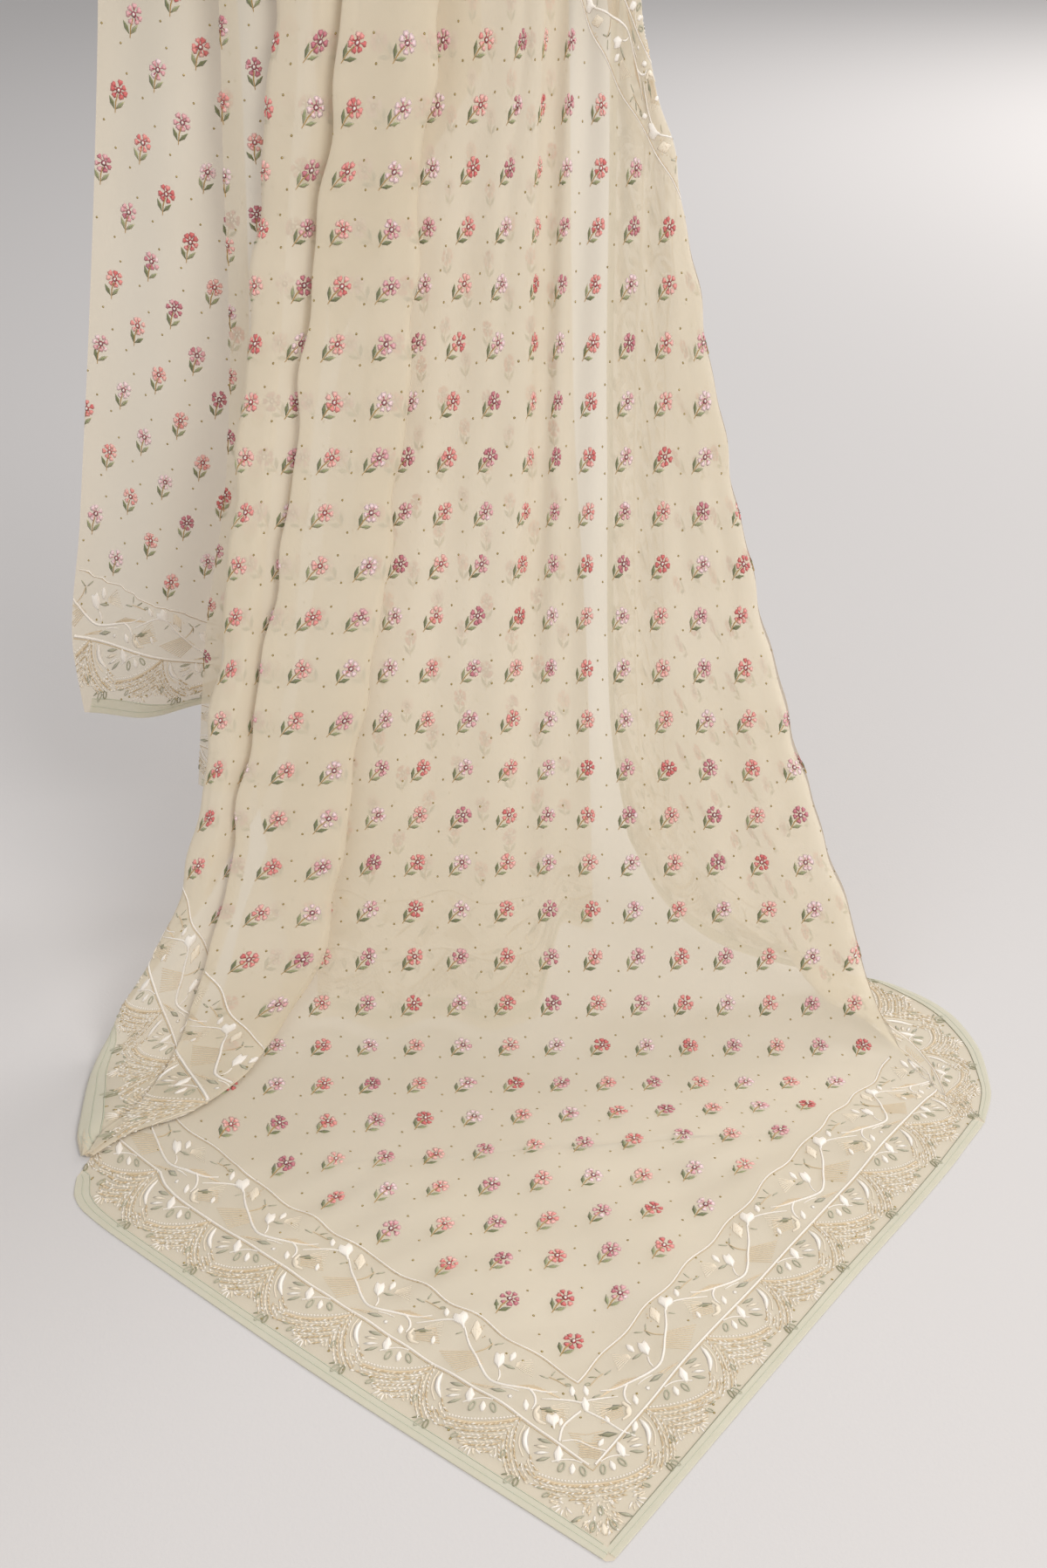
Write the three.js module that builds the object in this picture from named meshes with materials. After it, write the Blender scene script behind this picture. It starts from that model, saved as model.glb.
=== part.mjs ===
// A georgette saree thrown over a round rail: its pallu corner trails on the floor in front,
// its left side hangs in two soft pleats, a roll and a short straight end, and its right side
// folds back behind itself. Millimetres, +Z up, +Y away from the front. The origin is the
// middle of the rail's axis.
import * as THREE from "three";

// ---- driving dimensions -------------------------------------------------------------------
const RAIL_HEIGHT = 1120; // rail axis above the floor
const FLOOR = -RAIL_HEIGHT;
const RAIL_RADIUS = 12.5;
const RAIL_LENGTH = 620;
const WALL = 1.2; // thickness of every cloth wall
const SEAM_GAP = 1.3; // clear gap where two stretches of the same cloth meet
const PITCH = 42.5; // spacing of the flower lattice, which runs on the cloth's bias
const SPAN = 36.6; // lattice steps from the lower long edge to the upper one, across the bias
const LAY_RADIUS = 16.2; // radius at which the front fall passes over the rail

// How far each hem of the floor corner bows out of the straight, by lattice row.
const HEM_BOW = [
  { row: 0, left: 0, right: 0 },
  { row: 5, left: 11, right: 5 },
  { row: 8, left: 12, right: 10 },
  { row: 9.2, left: -8, right: 8 },
];

// Where the pallu corner lies on the floor, and one lattice step across and along the floor.
const CORNER = { x: 205, y: -838 };
const STEP_ACROSS = { x: 44.8, y: 4.5 };
const STEP_ALONG = { x: -5.6, y: 42.1 };

// The front fall's side profile: lattice row, distance in front of the rail, height above the
// floor. Rows below 12 lie on the floor.
const FALL = [
  { row: 0, y: -838, h: 0 },
  { row: 11.3, y: -361, h: 0 },
  { row: 12.2, y: -323, h: 9 },
  { row: 13.2, y: -297, h: 39 },
  { row: 15.2, y: -249, h: 117 },
  { row: 17.2, y: -209, h: 200 },
  { row: 19.2, y: -169, h: 284 },
  { row: 21.2, y: -127, h: 373 },
  { row: 23.1, y: -94, h: 460 },
  { row: 25.2, y: -61, h: 560 },
  { row: 27.2, y: -37, h: 660 },
  { row: 29.2, y: -24, h: 756 },
  { row: 31.2, y: -19, h: 857 },
  { row: 33.5, y: -LAY_RADIUS, h: 970 },
  { row: 36.6, y: -LAY_RADIUS, h: RAIL_HEIGHT },
];
const ROWS_ROUND_RAIL = 1.33; // lattice rows that lie on the rail's upper half
const BACK_STRETCH = 1.07; // how far the bias stretches where it hangs behind the rail
const BACK_CLEAR = 20; // how far the cloth behind the rail stands off, and how far down it does
const BACK_CLEAR_DROP = 160;

// Places across the front fall, row by row: lattice columns -3, -1, 0, 1 and 3, then the
// right-hand fold, its column and its place.
const ACROSS = [
  { row: 11.3, m3: -3, m1: 88, c0: 134, p1: 178, p3: 266, fold: 9.1, xFold: 530 },
  { row: 13.2, m3: -10, m1: 80, c0: 126, p1: 171, p3: 258, fold: 8.6, xFold: 490 },
  { row: 15.2, m3: -8, m1: 81, c0: 126, p1: 168, p3: 251, fold: 7.9, xFold: 464 },
  { row: 17.2, m3: 1, m1: 83, c0: 128, p1: 166, p3: 245, fold: 7.5, xFold: 431 },
  { row: 19.2, m3: 9, m1: 90, c0: 132, p1: 168, p3: 241, fold: 7.1, xFold: 403 },
  { row: 21.2, m3: 19, m1: 98, c0: 139, p1: 170, p3: 237, fold: 6.6, xFold: 375 },
  { row: 23.1, m3: 30, m1: 106, c0: 145, p1: 172, p3: 238, fold: 6.05, xFold: 351 },
  { row: 25.2, m3: 38, m1: 115, c0: 153, p1: 175, p3: 239, fold: 5.45, xFold: 327 },
  { row: 27.2, m3: 53, m1: 123, c0: 155, p1: 178, p3: 240, fold: 4.9, xFold: 304 },
  { row: 29.2, m3: 62, m1: 131, c0: 158, p1: 181, p3: 242, fold: 4.35, xFold: 281 },
  { row: 31.2, m3: 74, m1: 143, c0: 163, p1: 184, p3: 232, fold: 3.9, xFold: 251 },
  { row: 33.5, m3: 84, m1: 145, c0: 166, p1: 187, p3: 226, fold: 3.1, xFold: 228 },
  { row: 36.6, m3: 98, m1: 146, c0: 164, p1: 184, p3: 222, fold: 3.1, xFold: 226 },
  { row: 48, m3: 98, m1: 146, c0: 164, p1: 184, p3: 222, fold: 3.1, xFold: 226 },
];

// Left and right limits of the front fall, as lattice columns. Up to HEM_ROW they are its hems.
const HEM_ROW = 9.2;
const LIMITS = [
  { row: HEM_ROW, left: -HEM_ROW, right: HEM_ROW },
  { row: 11.3, left: -7.8, right: 9.1 },
  { row: 13.2, left: -6.2, right: 8.6 },
  { row: 15.2, left: -5.7, right: 7.9 },
  { row: 17.2, left: -5.3, right: 7.5 },
  { row: 21.2, left: -5.0, right: 6.6 },
  { row: 25.2, left: -4.8, right: 5.45 },
  { row: 29.2, left: -4.6, right: 4.35 },
  { row: 31.2, left: -4.5, right: 3.9 },
  { row: 33.5, left: -4.5, right: 3.1 },
  { row: 36.6, left: -4.4, right: 0 },
  { row: 40.7, left: -4.4, right: -4.1 },
];

// The two left-hand pleats, by lattice row: right edge of the centre pleat, valley between
// the pleats, left edge of the left pleat.
const PLEATS = [
  { row: 8.9, right: -246, valley: -251, left: -258 },
  { row: 9.6, right: -214, valley: -240, left: -264 },
  { row: 10.2, right: -166, valley: -221, left: -265 },
  { row: 11.3, right: -124, valley: -200, left: -269 },
  { row: 12.9, right: -86, valley: -175, left: -251 },
  { row: 14.4, right: -47, valley: -151, left: -212 },
  { row: 15.9, right: -34, valley: -133, left: -183 },
  { row: 18.1, right: -17, valley: -115, left: -161 },
  { row: 19.4, right: -8, valley: -103, left: -152 },
  { row: 21.1, right: 10, valley: -88, left: -139 },
  { row: 23.2, right: 24, valley: -67, left: -127 },
  { row: 26.3, right: 45, valley: -45, left: -105 },
  { row: 29.2, right: 56, valley: -21, left: -83 },
  { row: 31.2, right: 73, valley: -2, left: -66 },
  { row: 36.6, right: 104, valley: 30, left: -36 },
  { row: 52, right: 110, valley: 26, left: -44 },
];

// The hem of the fold-back: round the floor loop, then up behind the fall to its corner.
const LOOP_HEM = [
  { along: 0, x: 573, y: -415, h: 0 },
  { along: 0.09, x: 589, y: -371, h: 0 },
  { along: 0.18, x: 592, y: -325, h: 0 },
  { along: 0.27, x: 582, y: -277, h: 0 },
  { along: 0.36, x: 552, y: -236, h: 0 },
  { along: 0.46, x: 505, y: -212, h: 3 },
  { along: 0.6, x: 430, y: -218, h: 22 },
  { along: 0.74, x: 352, y: -216, h: 48 },
  { along: 0.87, x: 290, y: -196, h: 88 },
  { along: 1, x: 250, y: -172, h: 154 },
];

// The fold-back above its hem: height at the fold, height and place of its free edge, and
// how far the edge hangs behind the fall.
const FOLD_BACK = [
  { fold: 962, edge: 958, xEdge: 221, behind: 14 },
  { fold: 857, edge: 857, xEdge: 220, behind: 26 },
  { fold: 756, edge: 756, xEdge: 222, behind: 34 },
  { fold: 660, edge: 664, xEdge: 223, behind: 40 },
  { fold: 560, edge: 576, xEdge: 224, behind: 45 },
  { fold: 460, edge: 490, xEdge: 226, behind: 48 },
  { fold: 373, edge: 415, xEdge: 227, behind: 50 },
  { fold: 284, edge: 344, xEdge: 228, behind: 50 },
  { fold: 200, edge: 282, xEdge: 230, behind: 50 },
  { fold: 117, edge: 232, xEdge: 235, behind: 50 },
  { fold: 42, edge: 196, xEdge: 242, behind: 48 },
  { fold: 12, edge: 180, xEdge: 246, behind: 46 },
];

// The short straight end: left edge and right edge at each height.
const SHORT_END = [
  { h: 188, left: -338, right: -192 },
  { h: 250, left: -339, right: -182 },
  { h: 414, left: -308, right: -150 },
  { h: 590, left: -273, right: -120 },
  { h: 755, left: -242, right: -108 },
  { h: 889, left: -219, right: -102 },
  { h: 1120, left: -186, right: -104 },
];
// The roll between the short end and the left pleat.
const ROLL = [
  { h: 108, left: -218, right: -160 },
  { h: 290, left: -190, right: -132 },
  { h: 466, left: -150, right: -104 },
  { h: 615, left: -131, right: -82 },
  { h: 759, left: -122, right: -62 },
  { h: 860, left: -114, right: -48 },
  { h: 1120, left: -100, right: -42 },
];
// The layer behind the fall: left and right edge at each height.
const UNDER = [
  { h: 0, left: -62, right: 214 },
  { h: 120, left: -56, right: 212 },
  { h: 300, left: -36, right: 208 },
  { h: 560, left: -8, right: 192 },
  { h: 860, left: 22, right: 184 },
  { h: 1120, left: 44, right: 168 },
];

const COLOURS = { cloth: 0xe1dbc3, creamier: 0xdcd5b9, rail: 0x8d8a84 };
const CLOTH_ROUGHNESS = 0.85;
const RAIL_ROUGHNESS = 0.35;
const RAIL_METALNESS = 0.9;

// ---- reading the tables ---------------------------------------------------------------------
// The smooth value of one named column, between the rows of a table sorted by its key.
function read(table, key, at, column) {
  const last = table.length - 1;
  let i = table.findIndex((row) => row[key] > at) - 1;
  if (at >= table[last][key]) i = last - 1;
  i = Math.min(Math.max(i, 0), last - 1);
  const slope = (a, b) => (table[b][column] - table[a][column]) / (table[b][key] - table[a][key]);
  const here = slope(i, i + 1);
  const gentle = (other) => (other * here <= 0 ? 0 : (2 * other * here) / (other + here));
  const startSlope = i > 0 ? gentle(slope(i - 1, i)) : here;
  const endSlope = i + 2 <= last ? gentle(slope(i + 1, i + 2)) : here;
  const width = table[i + 1][key] - table[i][key];
  const t = Math.min(Math.max((at - table[i][key]) / width, 0), 1);
  const rest = 1 - t;
  return (
    table[i][column] * (1 + 2 * t) * rest * rest +
    table[i + 1][column] * t * t * (3 - 2 * t) +
    startSlope * width * t * rest * rest -
    endSlope * width * t * t * rest
  );
}

const mix = (a, b, t) => a + (b - a) * t;
const clamp = (value, low, high) => Math.min(Math.max(value, low), high);
function ease(low, high, value) {
  const t = clamp((value - low) / (high - low), 0, 1);
  return t * t * (3 - 2 * t);
}
const evenly = (from, to, steps) => Array.from({ length: steps + 1 }, (_, i) => mix(from, to, i / steps));

// ---- the path that the cloth hangs along ----------------------------------------------------
const RAIL_ROW = FALL[FALL.length - 1].row;
const BEHIND_ROW = RAIL_ROW + ROWS_ROUND_RAIL;

function onPath(row) {
  if (row <= RAIL_ROW) {
    return { y: read(FALL, "row", row, "y"), h: read(FALL, "row", row, "h") };
  }
  if (row < BEHIND_ROW) {
    const turn = (Math.PI * (row - RAIL_ROW)) / ROWS_ROUND_RAIL;
    return { y: -LAY_RADIUS * Math.cos(turn), h: RAIL_HEIGHT + LAY_RADIUS * Math.sin(turn) };
  }
  const down = (row - BEHIND_ROW) * PITCH * BACK_STRETCH;
  return { y: LAY_RADIUS + BACK_CLEAR * ease(0, BACK_CLEAR_DROP, down), h: RAIL_HEIGHT - down };
}

// The path's point moved out of the cloth's face by a distance, at x.
function besidePath(row, x, out) {
  const step = 0.05;
  const before = onPath(row - step);
  const after = onPath(row + step);
  const length = Math.hypot(after.y - before.y, after.h - before.h);
  const here = onPath(row);
  const normal = { y: -(after.h - before.h) / length, h: (after.y - before.y) / length };
  return new THREE.Vector3(x, here.y + normal.y * out, FLOOR + here.h + normal.h * out);
}

const fallAtHeight = (h) => read(FALL.slice(1), "h", h, "y");

// ---- closed walls ---------------------------------------------------------------------------
// A wall of even thickness about a grid of points. Nothing goes below the floor.
function wall(grid) {
  const rows = grid.length;
  const columns = grid[0].length;
  const along = new THREE.Vector3();
  const across = new THREE.Vector3();
  const faces = [[], []];
  for (let i = 0; i < rows; i += 1) {
    for (let j = 0; j < columns; j += 1) {
      along.subVectors(grid[Math.min(i + 1, rows - 1)][j], grid[Math.max(i - 1, 0)][j]);
      across.subVectors(grid[i][Math.min(j + 1, columns - 1)], grid[i][Math.max(j - 1, 0)]);
      const normal = across.cross(along).normalize();
      const sides = [1, -1].map((side) => grid[i][j].clone().addScaledVector(normal, (side * WALL) / 2));
      const low = sides[0].z < sides[1].z ? 0 : 1;
      const lift = Math.max(FLOOR - sides[low].z, 0);
      sides.forEach((point) => point.setZ(point.z + lift));
      if (Math.abs(normal.z) > 0.9 && sides[low].z - FLOOR < WALL / 4) sides[low].z = FLOOR;
      sides.forEach((point, side) => faces[side].push(point));
    }
  }
  const index = [];
  const count = rows * columns;
  const quad = (a, b, c, d) => index.push(a, b, c, a, c, d);
  for (let i = 0; i + 1 < rows; i += 1) {
    for (let j = 0; j + 1 < columns; j += 1) {
      const k = i * columns + j;
      quad(k, k + 1, k + columns + 1, k + columns);
      quad(count + k, count + k + columns, count + k + columns + 1, count + k + 1);
    }
  }
  const rim = [];
  for (let j = 0; j < columns - 1; j += 1) rim.push(j);
  for (let i = 0; i < rows - 1; i += 1) rim.push(i * columns + columns - 1);
  for (let j = columns - 1; j > 0; j -= 1) rim.push((rows - 1) * columns + j);
  for (let i = rows - 1; i > 0; i -= 1) rim.push(i * columns);
  rim.forEach((a, n) => {
    const b = rim[(n + 1) % rim.length];
    quad(b, a, count + a, count + b);
  });
  const geometry = new THREE.BufferGeometry();
  const points = faces.flat().flatMap((point) => point.toArray());
  geometry.setAttribute("position", new THREE.Float32BufferAttribute(points, 3));
  geometry.setIndex(facingOut(points, index));
  geometry.computeVertexNormals();
  return geometry;
}

// The same triangles, turned over if they enclose a negative volume.
function facingOut(points, index) {
  let volume = 0;
  const corner = [0, 1, 2].map(() => new THREE.Vector3());
  for (let k = 0; k < index.length; k += 3) {
    corner.forEach((point, n) => point.fromArray(points, index[k + n] * 3));
    volume += corner[0].dot(corner[1].cross(corner[2]));
  }
  if (volume > 0) return index;
  const turned = [];
  for (let k = 0; k < index.length; k += 3) turned.push(index[k], index[k + 2], index[k + 1]);
  return turned;
}

// ---- the front fall ---------------------------------------------------------------------------
const FOLD_ROUND = 13; // radius of the right-hand fold
const FOLD_START = 0.62; // how many columns before the fold its rounding starts

function fallX(row, column) {
  const places = [
    { column: -3, x: read(ACROSS, "row", row, "m3") },
    { column: -1, x: read(ACROSS, "row", row, "m1") },
    { column: 0, x: read(ACROSS, "row", row, "c0") },
    { column: 1, x: read(ACROSS, "row", row, "p1") },
    { column: 3, x: read(ACROSS, "row", row, "p3") },
    { column: Math.max(read(ACROSS, "row", row, "fold"), 3.05), x: read(ACROSS, "row", row, "xFold") },
  ];
  const first = (places[1].x - places[0].x) / 2;
  if (column < -3) return places[0].x + (column + 3) * first;
  return read(places, "column", column, "x");
}

const FLOOR_ROW = 10.5; // rows before this lie flat, and the cloth starts to lift after it
const SOFT_FOLDS = [
  { column: -1.9, depth: 5, width: 0.8 },
  { column: 0.55, depth: 11, width: 0.55 },
  { column: 1.6, depth: 8, width: 0.5 },
  { column: 3.4, depth: 6, width: 0.8 },
  { column: 5.6, depth: 5, width: 0.7 },
];

// Soft upright folds in the hanging fall, deepest near the rail.
function softFolds(row, column) {
  const strength = ease(13, 22, row) * (1 - ease(30, RAIL_ROW - 0.8, row));
  return SOFT_FOLDS.reduce(
    (sum, fold) => sum - fold.depth * Math.exp(-(((column - fold.column) / fold.width) ** 2)),
    0,
  ) * strength;
}

function limit(row, side) {
  if (row <= HEM_ROW) return side === "left" ? -row : row;
  if (row > 33.5 && side === "right") return Math.min(SPAN - row, read(LIMITS, "row", row, "right"));
  return read(LIMITS, "row", row, side);
}

// How far a hem's bow moves a point of the floor corner: fully at the hem, less inside it.
function bow(row, column) {
  const side = column < 0 ? "left" : "right";
  const reach = (Math.abs(column) / Math.max(Math.abs(limit(row, side)), 0.01)) ** 3;
  const out = read(HEM_BOW, "row", row, side) * reach;
  const facing = Math.hypot(STEP_ALONG.x, STEP_ALONG.y) * Math.SQRT2;
  const lean = column < 0 ? { x: STEP_ALONG.y, y: STEP_ACROSS.x } : { x: -STEP_ALONG.y, y: STEP_ACROSS.x };
  return { x: (-lean.x * out) / facing, y: (-lean.y * out) / facing };
}

function fallPoint(row, column) {
  const shift = bow(row, column);
  const flat = {
    x: CORNER.x + column * STEP_ACROSS.x + row * STEP_ALONG.x + shift.x,
    y: CORNER.y + column * STEP_ACROSS.y + row * STEP_ALONG.y + shift.y,
  };
  const hangs = ease(FLOOR_ROW - 1.5, FLOOR_ROW + 1.2, row);
  const fold = limit(row, "right");
  const turn = clamp((column - fold + FOLD_START) / FOLD_START, 0, 1);
  const rounded = row > 13 && row < 34 ? ease(13, 14.5, row) * (1 - ease(32, 34, row)) : 0;
  const back = FOLD_ROUND * (1 - Math.sqrt(1 - turn * turn)) * rounded;
  const hung = besidePath(row, fallX(row, column), softFolds(row, column) * (1 - turn) - back);
  return new THREE.Vector3(
    mix(flat.x, hung.x, hangs),
    mix(flat.y, hung.y, hangs),
    Math.max(mix(FLOOR, hung.z, hangs), FLOOR) + (row < FLOOR_ROW ? WALL / 2 : 0),
  );
}

function mainFall() {
  const rows = [0.06, ...evenly(1.2, 9.2, 6), ...evenly(9.9, 16, 11), ...evenly(17, 35.8, 16)];
  rows.push(...evenly(RAIL_ROW - 0.2, BEHIND_ROW, 6), 39, 40.1, 40.66);
  const steps = 22;
  const grid = rows.map((row) => {
    const left = limit(row, "left");
    const right = limit(row, "right");
    return evenly(0, 1, steps).map((t) => {
      const crowded = Math.sin((t * Math.PI) / 2) * 0.35 + t * 0.65; // closer near the fold
      return fallPoint(row, mix(left, right, row < HEM_ROW ? t : crowded));
    });
  });
  return wall(grid);
}

// ---- the two left-hand pleats -----------------------------------------------------------------
// How far out of the fall a pleat's layers lie. They close up where they cross the rail.
const layerScale = (row) => mix(1, 0.34, ease(31, RAIL_ROW, row));

// On the floor the pleats lie on the fall's edge, and beyond it on the floor itself.
function liftOverFall(point) {
  const row = (point.y - CORNER.y) / STEP_ALONG.y;
  const edge = CORNER.x + limit(clamp(row, 0, 12), "left") * STEP_ACROSS.x;
  const over = ease(edge - 40, edge - 8, point.x + 6.3 * row);
  const low = FLOOR + WALL / 2 + over * (WALL + 1);
  return point.setZ(Math.max(point.z, low));
}

// Behind the rail the long edge runs down at a slant, from a row at each side of a pleat.
const CENTRE_END = { right: 44.3, valley: 46.9 };
const LEFT_END = { valley: 47, left: 50 };
function slanted(row, longest, end) {
  const extra = Math.max(row - BEHIND_ROW, 0) / (longest - BEHIND_ROW);
  return row - extra * (longest - end);
}

const PLEAT_ROWS = [
  ...evenly(8.95, 15, 10),
  ...evenly(16, 35.7, 15),
  ...evenly(RAIL_ROW - 0.2, BEHIND_ROW, 6),
];

function centrePleat() {
  const grid = [...PLEAT_ROWS, ...evenly(39, CENTRE_END.valley, 4)].map((row) => {
    const right = read(PLEATS, "row", row, "right");
    const valley = read(PLEATS, "row", row, "valley");
    const scale = layerScale(row);
    const tucked = mix(6, 46, ease(11.5, 19, row));
    const section = [
      { x: right - tucked, out: 6 },
      { x: right - tucked * 0.5, out: 6 },
      { x: right - 5, out: 7 },
      { x: right - 1, out: 10 },
      { x: right, out: 14 },
      { x: right - 2, out: 18 },
      { x: right - 8, out: 22 },
      { x: mix(right, valley, 0.3), out: 26 },
      { x: mix(right, valley, 0.5), out: 25 },
      { x: mix(right, valley, 0.7), out: 21 },
      { x: mix(right, valley, 0.86), out: 15 },
      { x: valley + 3, out: 12 },
      { x: valley, out: 10.5 },
    ];
    const onFloor = 1 - 0.72 * (1 - ease(11, 15, row));
    return section.map(({ x, out }) => {
      const end = mix(CENTRE_END.valley, CENTRE_END.right, clamp((x - valley) / (right - valley), 0, 1));
      return liftOverFall(besidePath(slanted(row, CENTRE_END.valley, end), x, 0.6 + out * scale * onFloor));
    });
  });
  return wall(grid);
}

function leftPleat() {
  const grid = [...PLEAT_ROWS, ...evenly(39, LEFT_END.left, 6)].map((row) => {
    const left = read(PLEATS, "row", row, "left");
    const valley = read(PLEATS, "row", row, "valley") - SEAM_GAP;
    const scale = layerScale(row);
    const tucked = mix(0, 34, ease(13.5, 19, row));
    const round = ease(11.5, 15, row);
    const section = [
      { x: valley, out: 10.5 },
      { x: mix(valley, left, 0.14), out: 13 },
      { x: mix(valley, left, 0.32), out: 17 },
      { x: mix(valley, left, 0.52), out: 19 },
      { x: mix(valley, left, 0.74), out: 17 },
      { x: left + 6, out: 12 },
      { x: left + 1.5, out: 7 },
      { x: left, out: 2 },
      { x: left + 2 * round + tucked * 0.1, out: mix(1.4, -4, round) },
      { x: left + 4 * round + tucked * 0.55, out: mix(0.8, -7, round) },
      { x: left + 6 * round + tucked, out: mix(0.4, -7.5, round) },
    ];
    const onFloor = 1 - 0.72 * (1 - ease(11, 15, row));
    return section.map(({ x, out }, j) => {
      const layer = scale * onFloor;
      const place = row < 11.5 && j > 7 ? left - (j - 7) * 1.5 : x;
      const end = mix(LEFT_END.left, LEFT_END.valley, clamp((x - left) / (valley - left), 0, 1));
      return liftOverFall(besidePath(slanted(row, LEFT_END.left, end), place, 0.6 + out * layer));
    });
  });
  return wall(grid);
}

// ---- the fold-back on the right -----------------------------------------------------------------
function foldX(h) {
  const row = read(FALL.slice(1), "h", h, "row");
  return read(ACROSS, "row", row, "xFold");
}

const BACK_WAVES = 3;
const BACK_WAVE_DEPTH = 9;

function hangingBack(row, t) {
  const rounding = Math.sqrt(1 - (1 - clamp(t / 0.1, 0, 1)) ** 2);
  const start = { x: foldX(row.fold) - 0.6, h: row.fold };
  const h = mix(start.h, row.edge, t ** 1.4);
  const x = mix(start.x, row.xEdge, t);
  const waves = BACK_WAVE_DEPTH * Math.sin(t * BACK_WAVES * 2 * Math.PI) * ease(0.05, 0.3, t);
  const taper = ease(970, 800, row.fold);
  const behind = FOLD_ROUND + 2.6 + rounding * 4 + (row.behind - FOLD_ROUND - 5) * ease(0, 0.7, t);
  const slope = (fallAtHeight(h + 5) - fallAtHeight(h - 5)) / 10;
  const level = (behind + waves * taper) * Math.hypot(1, slope);
  return new THREE.Vector3(x, fallAtHeight(h) + level, FLOOR + h);
}

// What moves the straight line from the fold's foot to the loop's hem onto the fall's edge.
const FOOT_ROW = 12.3;
function seamShift(lowest, down) {
  const row = mix(FOOT_ROW, HEM_ROW, down);
  const seam = fallPoint(row, limit(row, "right"));
  const foot = hangingBack(lowest, 0);
  const hem = new THREE.Vector3(LOOP_HEM[0].x, LOOP_HEM[0].y, FLOOR);
  seam.sub(foot.lerp(hem, down));
  return seam.setZ(0).addScaledVector(new THREE.Vector3(1, 0.6, 0), SEAM_GAP * 1.5);
}

function foldBack() {
  const places = evenly(0, 1, 26);
  const grid = FOLD_BACK.map((row) => places.map((t) => hangingBack(row, t)));
  const lowest = FOLD_BACK[FOLD_BACK.length - 1];
  const skirt = [0.25, 0.5, 0.75, 1];
  skirt.forEach((down) => {
    grid.push(places.map((t) => {
      const top = hangingBack(lowest, t);
      const hem = new THREE.Vector3(
        read(LOOP_HEM, "along", t, "x"),
        read(LOOP_HEM, "along", t, "y"),
        FLOOR + read(LOOP_HEM, "along", t, "h"),
      );
      const point = top.lerp(hem, down);
      point.z = mix(point.z, hem.z, ease(0, 0.8, down) * (1 - ease(0.3, 0.6, t)));
      point.addScaledVector(seamShift(lowest, down), (1 - t) ** 6);
      return point.setZ(Math.max(point.z, FLOOR + WALL / 2));
    }));
  });
  return wall(grid);
}

// ---- the layers that hang straight ------------------------------------------------------------
// A stretch that hangs from the rail: over it at a radius, and a short way down behind.
function straightHang(heights, places, radius, tail, shape) {
  const turns = evenly(0, Math.PI, 6);
  const grid = heights.map((h) => places.map((t) => shape(h, t)));
  const top = heights[heights.length - 1];
  const swell = (t) => shape(top, t).y + radius;
  turns.slice(1).forEach((turn) => {
    grid.push(places.map((t) => {
      const edge = shape(top, t);
      const out = radius - swell(t) * Math.cos(turn) ** 2;
      return new THREE.Vector3(edge.x, -out * Math.cos(turn), out * Math.sin(turn));
    }));
  });
  evenly(0, tail, Math.max(Math.round(tail / 60), 1)).slice(1).forEach((down) => {
    grid.push(places.map((t) => {
      const edge = shape(top, t);
      return new THREE.Vector3(edge.x, radius + Math.abs(swell(t)), -down);
    }));
  });
  return wall(grid);
}

const SEAT_RADIUS = 14; // radius at which cloth lies straight on the rail
function shortEnd() {
  const heights = evenly(188, RAIL_HEIGHT, 11);
  return straightHang(heights, evenly(0, 1, 10), SEAT_RADIUS, 190, (h, t) => {
    const x = mix(read(SHORT_END, "h", h, "left"), read(SHORT_END, "h", h, "right"), t);
    const free = 1 - ease(880, RAIL_HEIGHT, h);
    const wave = (6 * Math.sin(t * 7.5 + 0.6) + 8 * t) * free;
    const hem = h < 200 ? -6 * Math.sin(t * 5) : 0;
    return new THREE.Vector3(x, -SEAT_RADIUS + 32 * free + wave, FLOOR + h + hem);
  });
}

function sideRoll() {
  const heights = evenly(108, RAIL_HEIGHT, 11);
  return straightHang(heights, evenly(0, 1, 8), SEAT_RADIUS, 150, (h, t) => {
    const x = mix(read(ROLL, "h", h, "left"), read(ROLL, "h", h, "right"), t);
    const free = 1 - ease(900, RAIL_HEIGHT, h);
    const bulge = -(15 * Math.sin(t * Math.PI)) * free;
    return new THREE.Vector3(x, -SEAT_RADIUS + 14 * free + bulge, FLOOR + h);
  });
}

const UNDER_BEHIND = 34;
function underFolds() {
  const heights = [...evenly(0, 240, 4), ...evenly(340, RAIL_HEIGHT, 8)];
  return straightHang(heights, evenly(0, 1, 24), SEAT_RADIUS, 12, (h, t) => {
    const x = mix(read(UNDER, "h", h, "left"), read(UNDER, "h", h, "right"), t);
    const hem = mix(7, 88, ease(0.79, 0.9, t));
    const height = h < 240 ? mix(hem, 240, h / 240) : h;
    const free = 1 - ease(640, RAIL_HEIGHT, h);
    const waves = 10 * Math.sin(t * 5.2 * Math.PI + 0.5) * free;
    const y = mix(-SEAT_RADIUS, fallAtHeight(clamp(height, 12, 960)) + UNDER_BEHIND + waves, free);
    return new THREE.Vector3(x, Math.max(y, -400), FLOOR + height);
  });
}

function rail() {
  const bar = new THREE.CylinderGeometry(RAIL_RADIUS, RAIL_RADIUS, RAIL_LENGTH, 32, 1);
  return bar.rotateZ(Math.PI / 2);
}

// ---- the scene ----------------------------------------------------------------------------------
const saree = new THREE.Group();
function add(name, geometry, finish) {
  const mesh = new THREE.Mesh(geometry, new THREE.MeshStandardMaterial(finish));
  mesh.name = name;
  saree.add(mesh);
}
const georgette = { color: COLOURS.cloth, roughness: CLOTH_ROUGHNESS, metalness: 0, side: THREE.DoubleSide };
const doubled = { ...georgette, color: COLOURS.creamier };
const steel = { color: COLOURS.rail, roughness: RAIL_ROUGHNESS, metalness: RAIL_METALNESS };

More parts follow.
